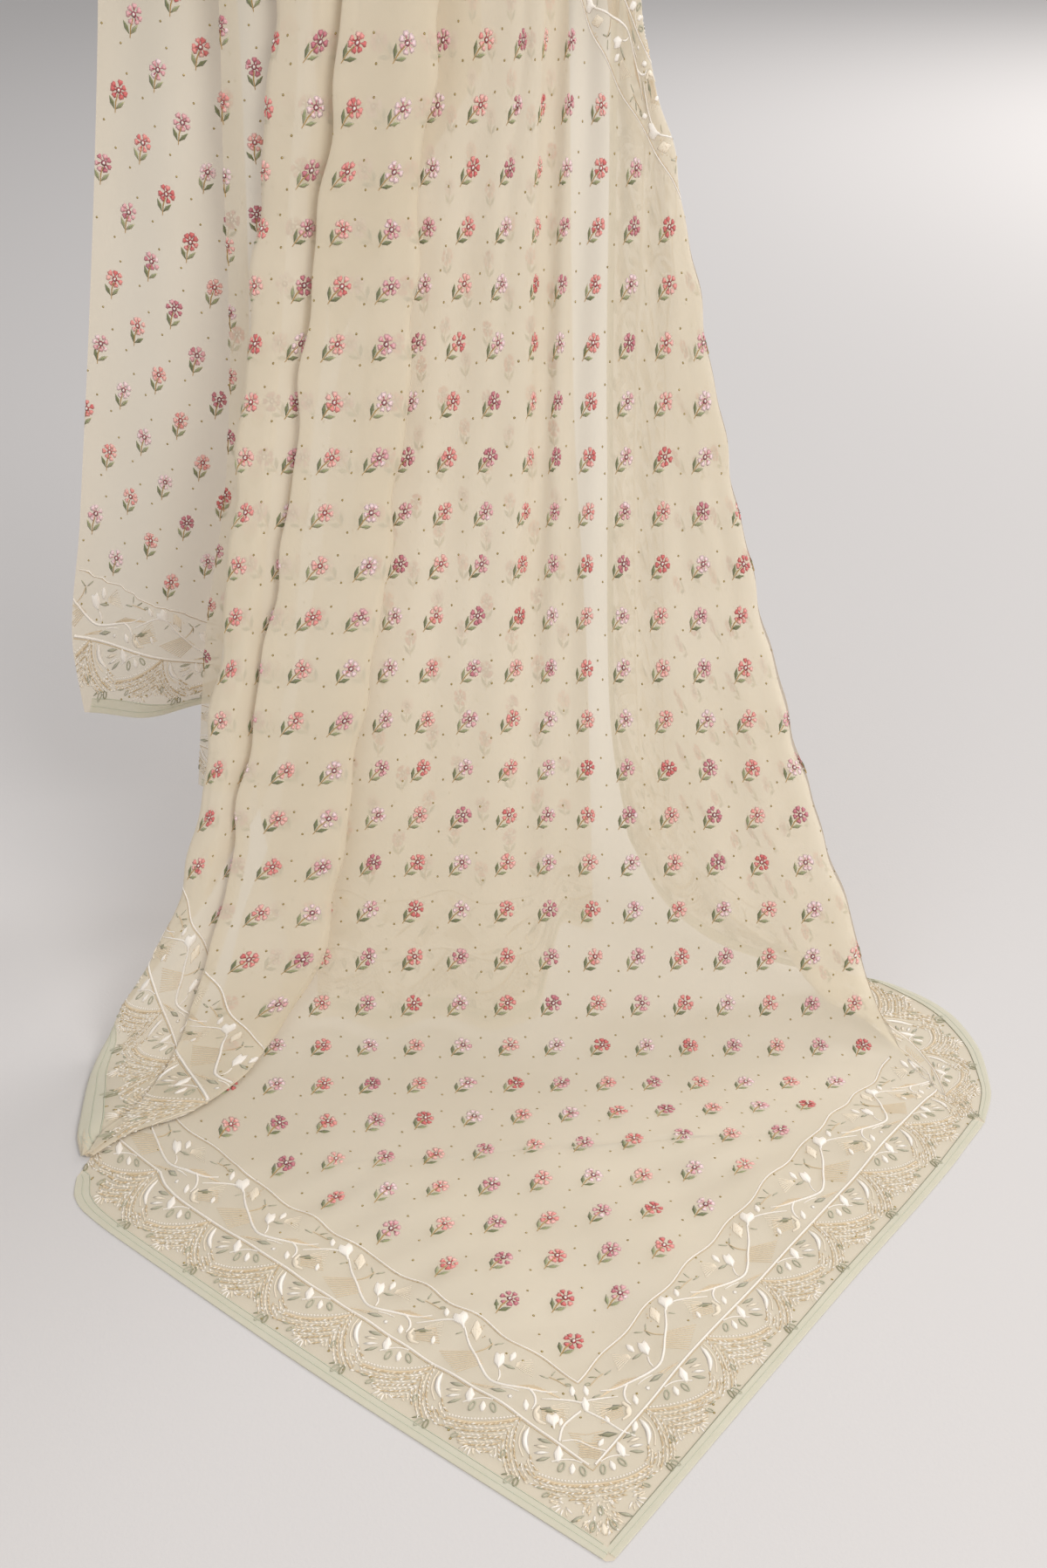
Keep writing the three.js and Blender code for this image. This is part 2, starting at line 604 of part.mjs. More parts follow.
add("rail", rail(), steel);
add("main_fall", mainFall(), georgette);
add("centre_pleat", centrePleat(), georgette);
add("left_pleat", leftPleat(), georgette);
add("fold_back", foldBack(), doubled);
add("side_roll", sideRoll(), georgette);
add("short_end", shortEnd(), georgette);
add("under_folds", underFolds(), doubled);

export default saree;
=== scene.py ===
"""Looks of a georgette saree that hangs over a round rail, its pallu corner trailing on the floor.

Cloth sizes are in millimetres and turned to metres when a mesh is made. A place on the flat
cloth is (across, along): the distance from its lower long edge, and from its pallu end.
"""

import logging
import math
from collections.abc import Callable, Iterable, Sequence
from dataclasses import dataclass, field
from enum import Enum

import bpy
import numpy as np
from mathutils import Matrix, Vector
from mathutils.bvhtree import BVHTree


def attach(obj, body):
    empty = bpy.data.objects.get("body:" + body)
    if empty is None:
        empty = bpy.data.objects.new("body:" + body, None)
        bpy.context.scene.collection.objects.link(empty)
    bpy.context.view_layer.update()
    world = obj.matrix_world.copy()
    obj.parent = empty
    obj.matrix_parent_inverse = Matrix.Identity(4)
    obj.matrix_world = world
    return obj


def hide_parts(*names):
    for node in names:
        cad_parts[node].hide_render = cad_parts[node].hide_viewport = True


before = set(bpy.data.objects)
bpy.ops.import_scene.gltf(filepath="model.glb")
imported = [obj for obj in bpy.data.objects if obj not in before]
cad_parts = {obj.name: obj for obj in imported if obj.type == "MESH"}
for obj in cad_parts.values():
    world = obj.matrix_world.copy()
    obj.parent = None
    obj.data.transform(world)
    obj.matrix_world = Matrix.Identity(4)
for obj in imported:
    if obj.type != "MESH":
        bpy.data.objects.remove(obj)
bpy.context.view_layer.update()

log = logging.getLogger("saree")
Points = np.ndarray
Place = tuple[float, float]
Places = Sequence[Place]

MM = 0.001
RAIL_HEIGHT = 1120.0  # rail axis above the floor
FLOOR = -RAIL_HEIGHT
CLOTH_WIDTH = 1100.0
PITCH = 42.5  # spacing of the flower lattice, which runs on the cloth's bias
STEP = PITCH / math.sqrt(2)  # one lattice step, measured across or along the cloth
BORDER = 102.0  # depth of the embroidered border
FAN_LINE = 52.0  # the cord that the fans stand on, from the hem
FAN_PITCH = 78.0
VINE_PITCH = 117.0


# ---- nodes and colours ----
def linear(code: str) -> tuple[float, float, float, float]:
    """Turns an sRGB hex colour to linear.

    Args:
        code: six hex digits.
    Returns:
        red, green, blue and an alpha of 1.
    """
    parts = [int(code[i : i + 2], 16) / 255 for i in (0, 2, 4)]
    turned = [p / 12.92 if p <= 0.04045 else ((p + 0.055) / 1.055) ** 2.4 for p in parts]
    return (*turned, 1.0)


def add_node(
    material: bpy.types.Material, kind: str, inputs: dict | None = None, **settings: object
) -> bpy.types.Node:
    """Adds a node to a material.

    Args:
        material: the material that gets it.
        kind: the node's type.
        inputs: for each socket, a value or the output that feeds it.
        settings: the node's own properties.
    Returns:
        the new node.
    """
    node = material.node_tree.nodes.new(kind)
    for name, value in settings.items():
        setattr(node, name, value)
    for name, value in (inputs or {}).items():
        if isinstance(value, bpy.types.NodeSocket):
            material.node_tree.links.new(value, node.inputs[name])
        else:
            node.inputs[name].default_value = value
    return node


def new_material(name: str) -> bpy.types.Material:
    """Makes a material with an empty node tree.

    Args:
        name: its name.
    Returns:
        the material.
    """
    material = bpy.data.materials.new(name)
    material.use_nodes = True
    material.node_tree.nodes.clear()
    return material


def finish_material(material: bpy.types.Material, shader: bpy.types.Node) -> bpy.types.Material:
    """Joins a shader to the material's output."""
    add_node(material, "ShaderNodeOutputMaterial", {"Surface": shader.outputs[0]})
    return material


@dataclass(frozen=True)
class Georgette:
    """Crepe-twisted polyester georgette: sheer and matt, with a fine pebble and a faint sheen."""

    name: str = "polyester_georgette"
    pale: str = "F8EBD4"
    deep: str = "EADBBE"
    alpha: float = 0.66
    pebble: float = 1.1  # crepe pebble; the real one is 0.4 mm, drawn coarser so that it shows
    cloud: float = 170.0  # size of the soft changes of colour

    def material(self) -> bpy.types.Material:
        """Builds the cloth's material on the piece's cloth map.

        Returns:
            the material.
        """
        made = new_material(self.name)
        place = add_node(made, "ShaderNodeUVMap", uv_map="cloth")
        cloud = add_node(
            made, "ShaderNodeTexNoise",
            {"Vector": place.outputs[0], "Scale": 1 / (self.cloud * MM), "Detail": 3.0, "Roughness": 0.5},
        )
        tone = add_node(
            made, "ShaderNodeMix",
            {0: cloud.outputs[0], 6: linear(self.deep), 7: linear(self.pale)},
            data_type="RGBA",
        )
        crepe = add_node(
            made, "ShaderNodeTexNoise",
            {"Vector": place.outputs[0], "Scale": 1 / (self.pebble * MM), "Detail": 1.0},
        )
        bump = add_node(
            made, "ShaderNodeBump", {"Height": crepe.outputs[0], "Strength": 0.35, "Distance": 0.0003}
        )
        shader = add_node(
            made, "ShaderNodeBsdfPrincipled",
            {
                "Base Color": tone.outputs[2], "Roughness": 0.78, "Specular IOR Level": 0.25,
                "Sheen Weight": 0.3, "Sheen Roughness": 0.45, "Alpha": self.alpha,
                "Normal": bump.outputs[0],
            },
        )
        return finish_material(made, shader)


@dataclass(frozen=True)
class Floss:
    """Rayon embroidery floss in satin stitch: fine parallel threads with a silky gloss."""

    name: str
    colour: str
    roughness: float = 0.42
    thread: float = 0.7  # floss width; the real one is 0.35 mm, drawn coarser so that it shows

    def material(self) -> bpy.types.Material:
        """Builds the floss's material, with threads along the stitch map.

        Returns:
            the material.
        """
        made = new_material(self.name)
        place = add_node(made, "ShaderNodeUVMap", uv_map="stitch")
        strands = add_node(
            made, "ShaderNodeTexWave",
            {"Vector": place.outputs[0], "Scale": 0.5 / (self.thread * MM) / math.pi, "Distortion": 1.2},
            wave_type="BANDS", bands_direction="Y",
        )
        bump = add_node(
            made, "ShaderNodeBump", {"Height": strands.outputs[0], "Strength": 0.5, "Distance": 0.0002}
        )
        shader = add_node(
            made, "ShaderNodeBsdfPrincipled",
            {
                "Base Color": linear(self.colour), "Roughness": self.roughness, "Sheen Weight": 0.35,
                "Specular IOR Level": 0.5, "Normal": bump.outputs[0],
            },
        )
        return finish_material(made, shader)


@dataclass(frozen=True)
class Sequin:
    """Vacuum-metallised polyester sequins: small mirrors that spark where they tilt."""

    name: str = "metallised_sequin"
    colour: str = "C2AE78"

    def material(self) -> bpy.types.Material:
        """Builds the sequins' material.

        Returns:
            the material.
        """
        made = new_material(self.name)
        place = add_node(made, "ShaderNodeTexCoord")
        speckle = add_node(
            made, "ShaderNodeTexNoise", {"Vector": place.outputs["Object"], "Scale": 900.0, "Detail": 0.0}
        )
        worn = add_node(
            made, "ShaderNodeMapRange", {"Value": speckle.outputs[0], "To Min": 0.15, "To Max": 0.4}
        )
        shader = add_node(
            made, "ShaderNodeBsdfPrincipled",
            {"Base Color": linear(self.colour), "Metallic": 0.85, "Roughness": worn.outputs[0]},
        )
        return finish_material(made, shader)


@dataclass(frozen=True)
class HemFacing:
    """A doubled, pressed edge of pale green georgette: denser than the field, with a soft matt face."""

    name: str = "pressed_hem_georgette"
    pale: str = "F0ECDA"
    deep: str = "E8E4CC"
    alpha: float = 0.62

    def material(self) -> bpy.types.Material:
        """Builds the hem's material.

        Returns:
            the material.
        """
        made = new_material(self.name)
        place = add_node(made, "ShaderNodeUVMap", uv_map="stitch")
        cloud = add_node(
            made, "ShaderNodeTexNoise", {"Vector": place.outputs[0], "Scale": 60.0, "Detail": 2.0}
        )
        tone = add_node(
            made, "ShaderNodeMix",
            {0: cloud.outputs[0], 6: linear(self.deep), 7: linear(self.pale)},
            data_type="RGBA",
        )
        shader = add_node(
            made, "ShaderNodeBsdfPrincipled",
            {"Base Color": tone.outputs[2], "Roughness": 0.8, "Sheen Weight": 0.3, "Alpha": self.alpha},
        )
        return finish_material(made, shader)


@dataclass(frozen=True)
class BrushedSteel:
    """Stainless steel tube, brushed round its length: long soft highlights with fine scratches."""

    name: str = "brushed_stainless_steel"
    colour: str = "B9B6B0"
    scratch: float = 0.4  # width of a brush mark

    def material(self) -> bpy.types.Material:
        """Builds the rail's material, with brush marks along X.

        Returns:
            the material.
        """
        made = new_material(self.name)
        place = add_node(made, "ShaderNodeTexCoord")
        fine = 1 / self.scratch
        drawn = add_node(
            made, "ShaderNodeMapping", {"Vector": place.outputs["Object"], "Scale": (4.0, fine, fine)}
        )
        marks = add_node(
            made, "ShaderNodeTexNoise", {"Vector": drawn.outputs[0], "Scale": 1000.0, "Detail": 3.0}
        )
        rough = add_node(
            made, "ShaderNodeMapRange", {"Value": marks.outputs[0], "To Min": 0.22, "To Max": 0.42}
        )
        bump = add_node(
            made, "ShaderNodeBump", {"Height": marks.outputs[0], "Strength": 0.15, "Distance": 0.0001}
        )
        shader = add_node(
            made, "ShaderNodeBsdfPrincipled",
            {
                "Base Color": linear(self.colour), "Metallic": 1.0, "Roughness": rough.outputs[0],
                "Normal": bump.outputs[0],
            },
        )
        return finish_material(made, shader)


@dataclass(frozen=True)
class StudioFloor:
    """Matt vinyl studio floor: pale grey with a very fine grain."""

    name: str = "matt_vinyl_floor"
    colour: str = "DCD7D4"

    def material(self) -> bpy.types.Material:
        """Builds the floor's material.

        Returns:
            the material.
        """
        made = new_material(self.name)
        place = add_node(made, "ShaderNodeTexCoord")
        grain = add_node(
            made, "ShaderNodeTexNoise", {"Vector": place.outputs["Object"], "Scale": 350.0, "Detail": 2.0}
        )
        bump = add_node(
            made, "ShaderNodeBump", {"Height": grain.outputs[0], "Strength": 0.25, "Distance": 0.0006}
        )
        shader = add_node(
            made, "ShaderNodeBsdfPrincipled",
            {
                "Base Color": linear(self.colour), "Roughness": 0.9, "Specular IOR Level": 0.2,
                "Normal": bump.outputs[0],
            },
        )
        return finish_material(made, shader)


class Thread(Enum):
    """The flosses of the embroidery."""

    CORAL_PALE = Floss("rayon_floss_pale_coral", "FFC4B8")
    CORAL = Floss("rayon_floss_coral", "F9A097")
    CORAL_DEEP = Floss("rayon_floss_deep_coral", "E47470")
    CORAL_HEART = Floss("rayon_floss_dark_red", "BE484B")
    MAUVE_PALE = Floss("rayon_floss_pale_mauve", "FFE0E0")
    MAUVE = Floss("rayon_floss_mauve", "F2B6B8")
    MAUVE_DEEP = Floss("rayon_floss_deep_mauve", "D5808A")
    MAUVE_HEART = Floss("rayon_floss_plum", "AC4C5A")
    WHITE = Floss("rayon_floss_white", "FFF4EC")
    LEAF = Floss("rayon_floss_sage_green", "9DA272")
    LEAF_DEEP = Floss("rayon_floss_deep_sage", "7C7F52")
    LEAF_EDGE = Floss("rayon_floss_pale_sage", "D4CFA4")
    GOLD = Floss("rayon_floss_old_gold", "BC9550")
    IVORY = Floss("rayon_floss_ivory", "FFF6EA", 0.36)
    CREAM = Floss("rayon_floss_cream", "F7E8D0", 0.4)
    BEIGE = Floss("rayon_floss_beige", "E8D2B0")
    SAND = Floss("rayon_floss_sand", "D8BF97")
    SAGE = Floss("rayon_floss_grey_sage", "B9B49A")
    OLIVE = Floss("rayon_floss_olive", "9C9778")
    HEM_STITCH = Floss("cotton_thread_olive_grey", "9C9A80", 0.7)
    HEM_STITCH_PALE = Floss("cotton_thread_pale_green", "CACBB2", 0.7)


Finish = Thread | Sequin | HemFacing
Pieces = tuple[tuple[str, float, float, float, Thread, float], ...]


# ---- smooth tables ----
def smooth(keys: Points, values: Points, at: Points) -> Points:
    """Reads smooth values between table rows, with no overshoot.

    Args:
        keys: increasing keys, as (n,) or as (m, n) with a table for each place.
        values: a value for each key.
        at: m places.
    Returns:
        m values.
    """
    at = np.atleast_1d(np.asarray(at, float))
    keys = np.broadcast_to(np.asarray(keys, float), (at.size, np.shape(keys)[-1]))
    values = np.broadcast_to(np.asarray(values, float), keys.shape)
    slopes = np.diff(values, axis=1) / np.diff(keys, axis=1)
    before, after = slopes[:, :-1], slopes[:, 1:]
    same = before * after > 0
    gentle = np.where(same, 2 * before * after / np.where(same, before + after, 1), 0)
    tangents = np.concatenate([slopes[:, :1], gentle, slopes[:, -1:]], axis=1)
    i = np.clip((keys <= at[:, None]).sum(1) - 1, 0, keys.shape[1] - 2)
    n = np.arange(at.size)
    width = keys[n, i + 1] - keys[n, i]
    t = np.clip((at - keys[n, i]) / width, 0, 1)
    rest = 1 - t
    return (
        values[n, i] * (1 + 2 * t) * rest**2
        + values[n, i + 1] * t**2 * (3 - 2 * t)
        + tangents[n, i] * width * t * rest**2
        - tangents[n, i + 1] * width * t**2 * rest
    )


def natural(keys: Points, values: Points, at: Points) -> Points:
    """Reads a softly rounded curve through evenly numbered points.

    Args:
        keys: 0, 1, 2 and on.
        values: a value for each.
        at: places between them.
    Returns:
        a value for each place.
    """
    i = np.clip(np.floor(at).astype(int), 0, len(keys) - 2)
    t = at - i
    tangents = np.gradient(values)
    a, b = values[i], values[i + 1]
    return (
        a * (1 + 2 * t) * (1 - t) ** 2 + b * t**2 * (3 - 2 * t)
        + tangents[i] * t * (1 - t) ** 2 - tangents[i + 1] * t**2 * (1 - t)
    )


@dataclass(frozen=True)
class Table:
    """A short table of sizes with named columns, read smoothly by its first column."""

    columns: str
    rows: tuple[tuple[float, ...], ...]

    def column(self, name: str) -> Points:
        """Returns one column."""
        return np.array(self.rows)[:, self.columns.split().index(name)]

    def read(self, at: Points, name: str, key: str | None = None) -> Points:
        """Reads a column's smooth values.

        Args:
            at: places in the key column.
            name: the column.
            key: the key column, if it isn't the first.
        Returns:
            a value for each place.
        """
        keys = self.column(key or self.columns.split()[0])
        flat = np.ravel(np.asarray(at, float))
        return smooth(keys, self.column(name), flat).reshape(np.shape(at))

    def between(self, at: Points, t: Points) -> Points:
        """Goes evenly from the left column to the right one."""
        return mix(self.read(at, "left"), self.read(at, "right"), t)


def ease(low: float, high: float, value: Points) -> Points:
    """Rises smoothly from 0 at low to 1 at high."""
    t = np.clip((np.asarray(value, float) - low) / (high - low), 0, 1)
    return t * t * (3 - 2 * t)


def mix(a: Points, b: Points, t: Points) -> Points:
    """Goes evenly from a to b."""
    return a + (b - a) * t


def runs(*stretches: tuple[float, float, int]) -> Points:
    """Joins evenly spaced runs of (first, last, steps), each without its last value but the last."""
    parts = [np.linspace(a, b, n + 1)[:-1] for a, b, n in stretches]
    return np.append(np.concatenate(parts), stretches[-1][1])


def vectors(x: Points, y: Points, z: Points) -> Points:
    """Stacks coordinates of like shape into points."""
    return np.stack(np.broadcast_arrays(x, y, z), axis=-1).astype(float)


# ---- a sheet of cloth ----
def grid_cells(rows: int, columns: int) -> Points:
    """Returns the number of the first corner of each cell of a grid."""
    return (np.arange(rows - 1)[:, None] * columns + np.arange(columns - 1)).ravel()


def grid_normals(grid: Points) -> Points:
    """Works out a grid's unit normals.

    Args:
        grid: rows and columns of points.
    Returns:
        a normal for each point.
    """
    along = np.gradient(grid, axis=0)
    across = np.gradient(grid, axis=1)
    normal = np.cross(across, along)
    size = np.linalg.norm(normal, axis=-1, keepdims=True)
    return normal / np.maximum(size, 1e-9)


def make_mesh(name: str, points: Points, faces: Iterable, maps: dict[str, Points]) -> bpy.types.Object:
    """Makes a mesh object in metres from points in millimetres.

    Args:
        name: the piece's name.
        points: one row for each vertex.
        faces: vertex numbers of each face.
        maps: for each UV map, a place in millimetres for each vertex.
    Returns:
        the new object, in the scene.
    """
    mesh = bpy.data.meshes.new(name)
    mesh.from_pydata((points * MM).tolist(), [], list(faces))
    loops = np.zeros(len(mesh.loops), np.int32)
    mesh.loops.foreach_get("vertex_index", loops)
    for title, places in maps.items():
        layer = mesh.uv_layers.new(name=title)
        layer.data.foreach_set("uv", (places[loops] * MM).astype(np.float32).ravel())
    mesh.shade_smooth()
    piece = bpy.data.objects.new(name, mesh)
    bpy.context.collection.objects.link(piece)
    return piece


@dataclass
class ClothSheet:
    """A stretch of the saree as a fine grid, with each point's place on the flat cloth."""

    name: str
    grid: Points
    cloth: Points
    turned: bool = False  # True where the grid's normals point to the wrong side
    normals: Points = field(init=False)
    tree: BVHTree = field(init=False)
    triangles: Points = field(init=False)

    def __post_init__(self) -> None:
        """Works out the normals and the search tree over the flat cloth."""
        self.normals = grid_normals(self.grid) * (-1 if self.turned else 1)
        rows, columns = self.grid.shape[:2]
        k = grid_cells(rows, columns)
        lower = np.stack([k, k + 1, k + columns + 1], axis=1)
        upper = np.stack([k, k + columns + 1, k + columns], axis=1)
        self.triangles = np.concatenate([lower, upper])
        flat = self.cloth.reshape(-1, 2)
        places = np.column_stack([flat, np.zeros(len(flat))])
        self.tree = BVHTree.FromPolygons(places.tolist(), self.triangles.tolist())

    def build(self, material: bpy.types.Material) -> bpy.types.Object:
        """Makes the sheet's mesh of quads.

        Args:
            material: the cloth's material.
        Returns:
            the piece.
        """
        rows, columns = self.grid.shape[:2]
        k = grid_cells(rows, columns)
        quads = np.stack([k, k + columns, k + columns + 1, k + 1], axis=1)
        if not self.turned:
            quads = quads[:, ::-1]
        maps = {"cloth": self.cloth.reshape(-1, 2)}
        piece = make_mesh(self.name, self.grid.reshape(-1, 3), quads.tolist(), maps)
        piece.data.materials.append(material)
        return piece

    def flat_size(self) -> tuple[tuple[float, float], float]:
        """Measures the smallest rectangle that the flat cut fits, on its grain or on its bias.

        Returns:
            its width and length, and the cut's area, in metres.
        """
        flat = self.cloth.reshape(-1, 2) * MM
        a, b, c = (flat[self.triangles[:, n]] for n in range(3))
        cross = (b - a)[:, 0] * (c - a)[:, 1] - (b - a)[:, 1] * (c - a)[:, 0]
        bias = np.stack([flat[:, 0] + flat[:, 1], flat[:, 0] - flat[:, 1]], axis=1) / math.sqrt(2)
        sizes = [np.ptp(flat, axis=0), np.ptp(bias, axis=0)]
        size = min(sizes, key=lambda one: one[0] * one[1])
        return (float(size[0]), float(size[1])), float(np.abs(cross).sum() / 2)

    def place(self, spots: Points, heights: Points) -> Points:
        """Turns places on the flat cloth to points in space.

        Args:
            spots: (across, along) places.
            heights: how far each stands off the cloth's right side.
        Returns:
            one point for each place; a place past the sheet's edge goes to the edge.
        """
        found = [self.tree.find_nearest((u, v, 0.0)) for u, v in spots.tolist()]
        at = np.array([hit[0][:2] for hit in found])
        corners = self.triangles[[hit[2] for hit in found]]
        flat = self.cloth.reshape(-1, 2)
        a, b, c = (flat[corners[:, n]] for n in range(3))
        ab, ac, ap = b - a, c - a, at - a
        whole = ab[:, 0] * ac[:, 1] - ab[:, 1] * ac[:, 0]
        whole = np.where(np.abs(whole) < 1e-9, 1e-9, whole)
        second = (ap[:, 0] * ac[:, 1] - ap[:, 1] * ac[:, 0]) / whole
        third = (ab[:, 0] * ap[:, 1] - ab[:, 1] * ap[:, 0]) / whole
        share = np.clip(np.stack([1 - second - third, second, third], axis=1), 0, 1)
        share /= share.sum(1, keepdims=True)
        point = (self.grid.reshape(-1, 3)[corners] * share[..., None]).sum(1)
        normal = (self.normals.reshape(-1, 3)[corners] * share[..., None]).sum(1)
        return point + normal * np.asarray(heights)[:, None]

    def covers(self, spot: Place, reach: float = 0.5) -> bool:
        """Tells whether a place on the flat cloth is on this sheet."""
        return self.tree.find_nearest((*spot, 0.0))[3] < reach


# ---- the path that the cloth hangs along ----
@dataclass
class Hanging:
    """The front fall's side profile over the rail, and how the fall spreads across it."""

    lay_radius: float = 16.2  # radius at which the front fall passes over the rail
    rail_row: float = 36.6
    rows_round_rail: float = 1.33
    back_stretch: float = 1.07
    back_clear: float = 20.0
    back_clear_drop: float = 160.0
    corner: tuple[float, float] = (205.0, -838.0)
    step_across: tuple[float, float] = (44.8, 4.5)
    step_along: tuple[float, float] = (-5.6, 42.1)
    hem_row: float = 9.2
    floor_row: float = 10.5
    fold_round: float = 13.0
    fold_start: float = 0.62
    lift: float = 0.6  # the cloth's middle above the floor
    fall: Table = Table(
        "row y h",
        (
            (0, -838, 0), (11.3, -361, 0), (12.2, -323, 9), (13.2, -297, 39), (15.2, -249, 117),
            (17.2, -209, 200), (19.2, -169, 284), (21.2, -127, 373), (23.1, -94, 460), (25.2, -61, 560),
            (27.2, -37, 660), (29.2, -24, 756), (31.2, -19, 857), (33.5, -16.2, 970), (36.6, -16.2, 1120),
        ),
    )
    across: Table = Table(
        "row m3 m1 c0 p1 p3 fold x_fold",
        (
            (11.3, -3, 88, 134, 178, 266, 9.1, 530), (13.2, -10, 80, 126, 171, 258, 8.6, 490),
            (15.2, -8, 81, 126, 168, 251, 7.9, 464), (17.2, 1, 83, 128, 166, 245, 7.5, 431),
            (19.2, 9, 90, 132, 168, 241, 7.1, 403), (21.2, 19, 98, 139, 170, 237, 6.6, 375),
            (23.1, 30, 106, 145, 172, 238, 6.05, 351), (25.2, 38, 115, 153, 175, 239, 5.45, 327),
            (27.2, 53, 123, 155, 178, 240, 4.9, 304), (29.2, 62, 131, 158, 181, 242, 4.35, 281),
            (31.2, 74, 143, 163, 184, 232, 3.9, 251), (33.5, 84, 145, 166, 187, 226, 3.1, 228),
            (36.6, 98, 146, 164, 184, 222, 3.1, 226), (48, 98, 146, 164, 184, 222, 3.1, 226),
        ),
    )
    limits: Table = Table(
        "row left right",
        (
            (9.2, -9.2, 9.2), (11.3, -7.8, 9.1), (13.2, -6.2, 8.6), (15.2, -5.7, 7.9), (17.2, -5.3, 7.5),
            (21.2, -5.0, 6.6), (25.2, -4.8, 5.45), (29.2, -4.6, 4.35), (31.2, -4.5, 3.9), (33.5, -4.5, 3.1),
            (36.6, -4.4, 0), (40.7, -4.4, -4.1),
        ),
    )
    hem_bow: Table = Table(
        "row left right", ((0, 0, 0), (5, 11, 5), (8, 12, 10), (8.6, 10, 9), (8.95, 3, 8.5), (9.2, -12, 8))
    )
    ripple: float = 2.2  # a quarter the height of the soft creases on the floor
    fold_waver: float = 1.5  # how far the right-hand fold wavers
    squeeze: float = 2.2  # how far the steep fold at column 0 draws the cloth together
    # soft upright folds: lattice column, depth, width in columns
    folds: tuple[tuple[float, float, float], ...] = (
        (-2.9, 3, 0.35), (-1.9, 6, 0.6), (-0.9, 3, 0.3), (0.5, 15, 0.5), (1.6, 9, 0.45), (2.6, 3, 0.3),
        (3.5, 7, 0.6), (4.6, 3, 0.35), (5.6, 6, 0.6), (6.6, 3, 0.4),
    )

    def path(self, row: Points) -> tuple[Points, Points]:
        """Reads the hanging path.

        Args:
            row: lattice rows.
        Returns:
            the distances behind the rail and the heights above the floor.
        """
        row = np.asarray(row, float)
        behind_row = self.rail_row + self.rows_round_rail
        turn = np.pi * np.clip((row - self.rail_row) / self.rows_round_rail, 0, 1)
        down = np.maximum(row - behind_row, 0) * PITCH * self.back_stretch
        y = np.where(row <= self.rail_row, self.fall.read(row, "y"), -self.lay_radius * np.cos(turn))
        h = np.where(
            row <= self.rail_row, self.fall.read(row, "h"), RAIL_HEIGHT + self.lay_radius * np.sin(turn)
        )
        behind = row >= behind_row
        y = np.where(behind, self.lay_radius + self.back_clear * ease(0, self.back_clear_drop, down), y)
        return y, np.where(behind, RAIL_HEIGHT - down, h)

    def beside(self, row: Points, x: Points, out: Points) -> Points:
        """Reads places beside the path.

        Args:
            row: lattice rows.
            x: places across.
            out: how far they stand out of the cloth's face.
        Returns:
            their points.
        """
        step = 0.05
        y0, h0 = self.path(row - step)
        y1, h1 = self.path(row + step)
        y, h = self.path(row)
        length = np.hypot(y1 - y0, h1 - h0)
        return vectors(x, y - (h1 - h0) / length * out, FLOOR + h + (y1 - y0) / length * out)

    def y_at(self, h: Points) -> Points:
        """Returns how far behind the rail the fall is at a height above the floor."""
        table = Table(self.fall.columns, self.fall.rows[1:])
        return table.read(h, "y", key="h")

    def fold_x(self, row: Points) -> Points:
        """Reads where the right-hand fold is.

        Args:
            row: lattice rows.
        Returns:
            its places across.
        """
        row = np.asarray(row, float)
        free = ease(13, 17, row) * (1 - ease(32, 35, row))
        waver = np.sin(row * 2.6) + 0.7 * np.sin(row * 4.9 + 1)
        return self.across.read(row, "x_fold") + self.fold_waver * free * waver

    def creases(self, row: Points, column: Points) -> Points:
        """Works out the soft creases of the floor part.

        Args:
            row: lattice rows.
            column: lattice columns.
        Returns:
            their heights.
        """
        edge = np.minimum(np.abs(self.limit(row, "left")), np.abs(self.limit(row, "right")))
        flat = (np.abs(column) / np.maximum(edge, 0.01)) ** 4
        inner = np.clip(1 - flat, 0, 1) * ease(1.2, 3.5, row) * (1 - ease(8.5, 10.5, row))
        waves = np.sin(column * 1.9 + row * 0.9 + 1.2 * np.sin(row * 0.7))
        waves = waves + 0.6 * np.sin(row * 2.3 - column * 0.8)
        patch = 0.5 + 0.5 * np.sin(column * 0.8 + row * 0.6)
        waves = waves + 0.6 * patch * np.sin(row * 6.2 - column * 2.1 + 1.3 * np.sin(column * 0.9))
        return self.ripple * inner * (2.2 + waves)

    def fall_x(self, row: Points, column: Points) -> Points:
        """Reads where the lattice columns hang.

        Args:
            row: lattice rows.
            column: lattice columns.
        Returns:
            their places across.
        """
        row, column = np.broadcast_arrays(np.asarray(row, float), np.asarray(column, float))
        r, c = row.ravel(), column.ravel()
        known = [self.across.read(r, k) for k in ("m3", "m1", "c0", "p1", "p3")]
        places = np.stack([*known, self.fold_x(r)], axis=1)
        keys = np.tile(np.array([-3.0, -1, 0, 1, 3, 0]), (r.size, 1))
        keys[:, 5] = np.maximum(self.across.read(r, "fold"), 3.05)
        read = smooth(keys, places, c)
        squeezed = ease(19, 25, r) * (1 - ease(31, 35, r))
        read = read - self.squeeze * np.sin(2 * np.pi * c) * np.exp(-((c / 0.8) ** 2)) * squeezed
        wide = places[:, 0] + (c + 3) * (places[:, 1] - places[:, 0]) / 2
        return np.where(c < -3, wide, read).reshape(row.shape)

    def soft_folds(self, row: Points, column: Points) -> Points:
        """Works out the hanging fall's soft folds.

        Args:
            row: lattice rows.
            column: lattice columns.
        Returns:
            how far each place stands out.
        """
        strength = ease(13, 22, row) * (1 - ease(30, self.rail_row - 0.8, row))
        troughs = sum(depth * np.exp(-(((column - at) / width) ** 2)) for at, depth, width in self.folds)
        return -troughs * strength

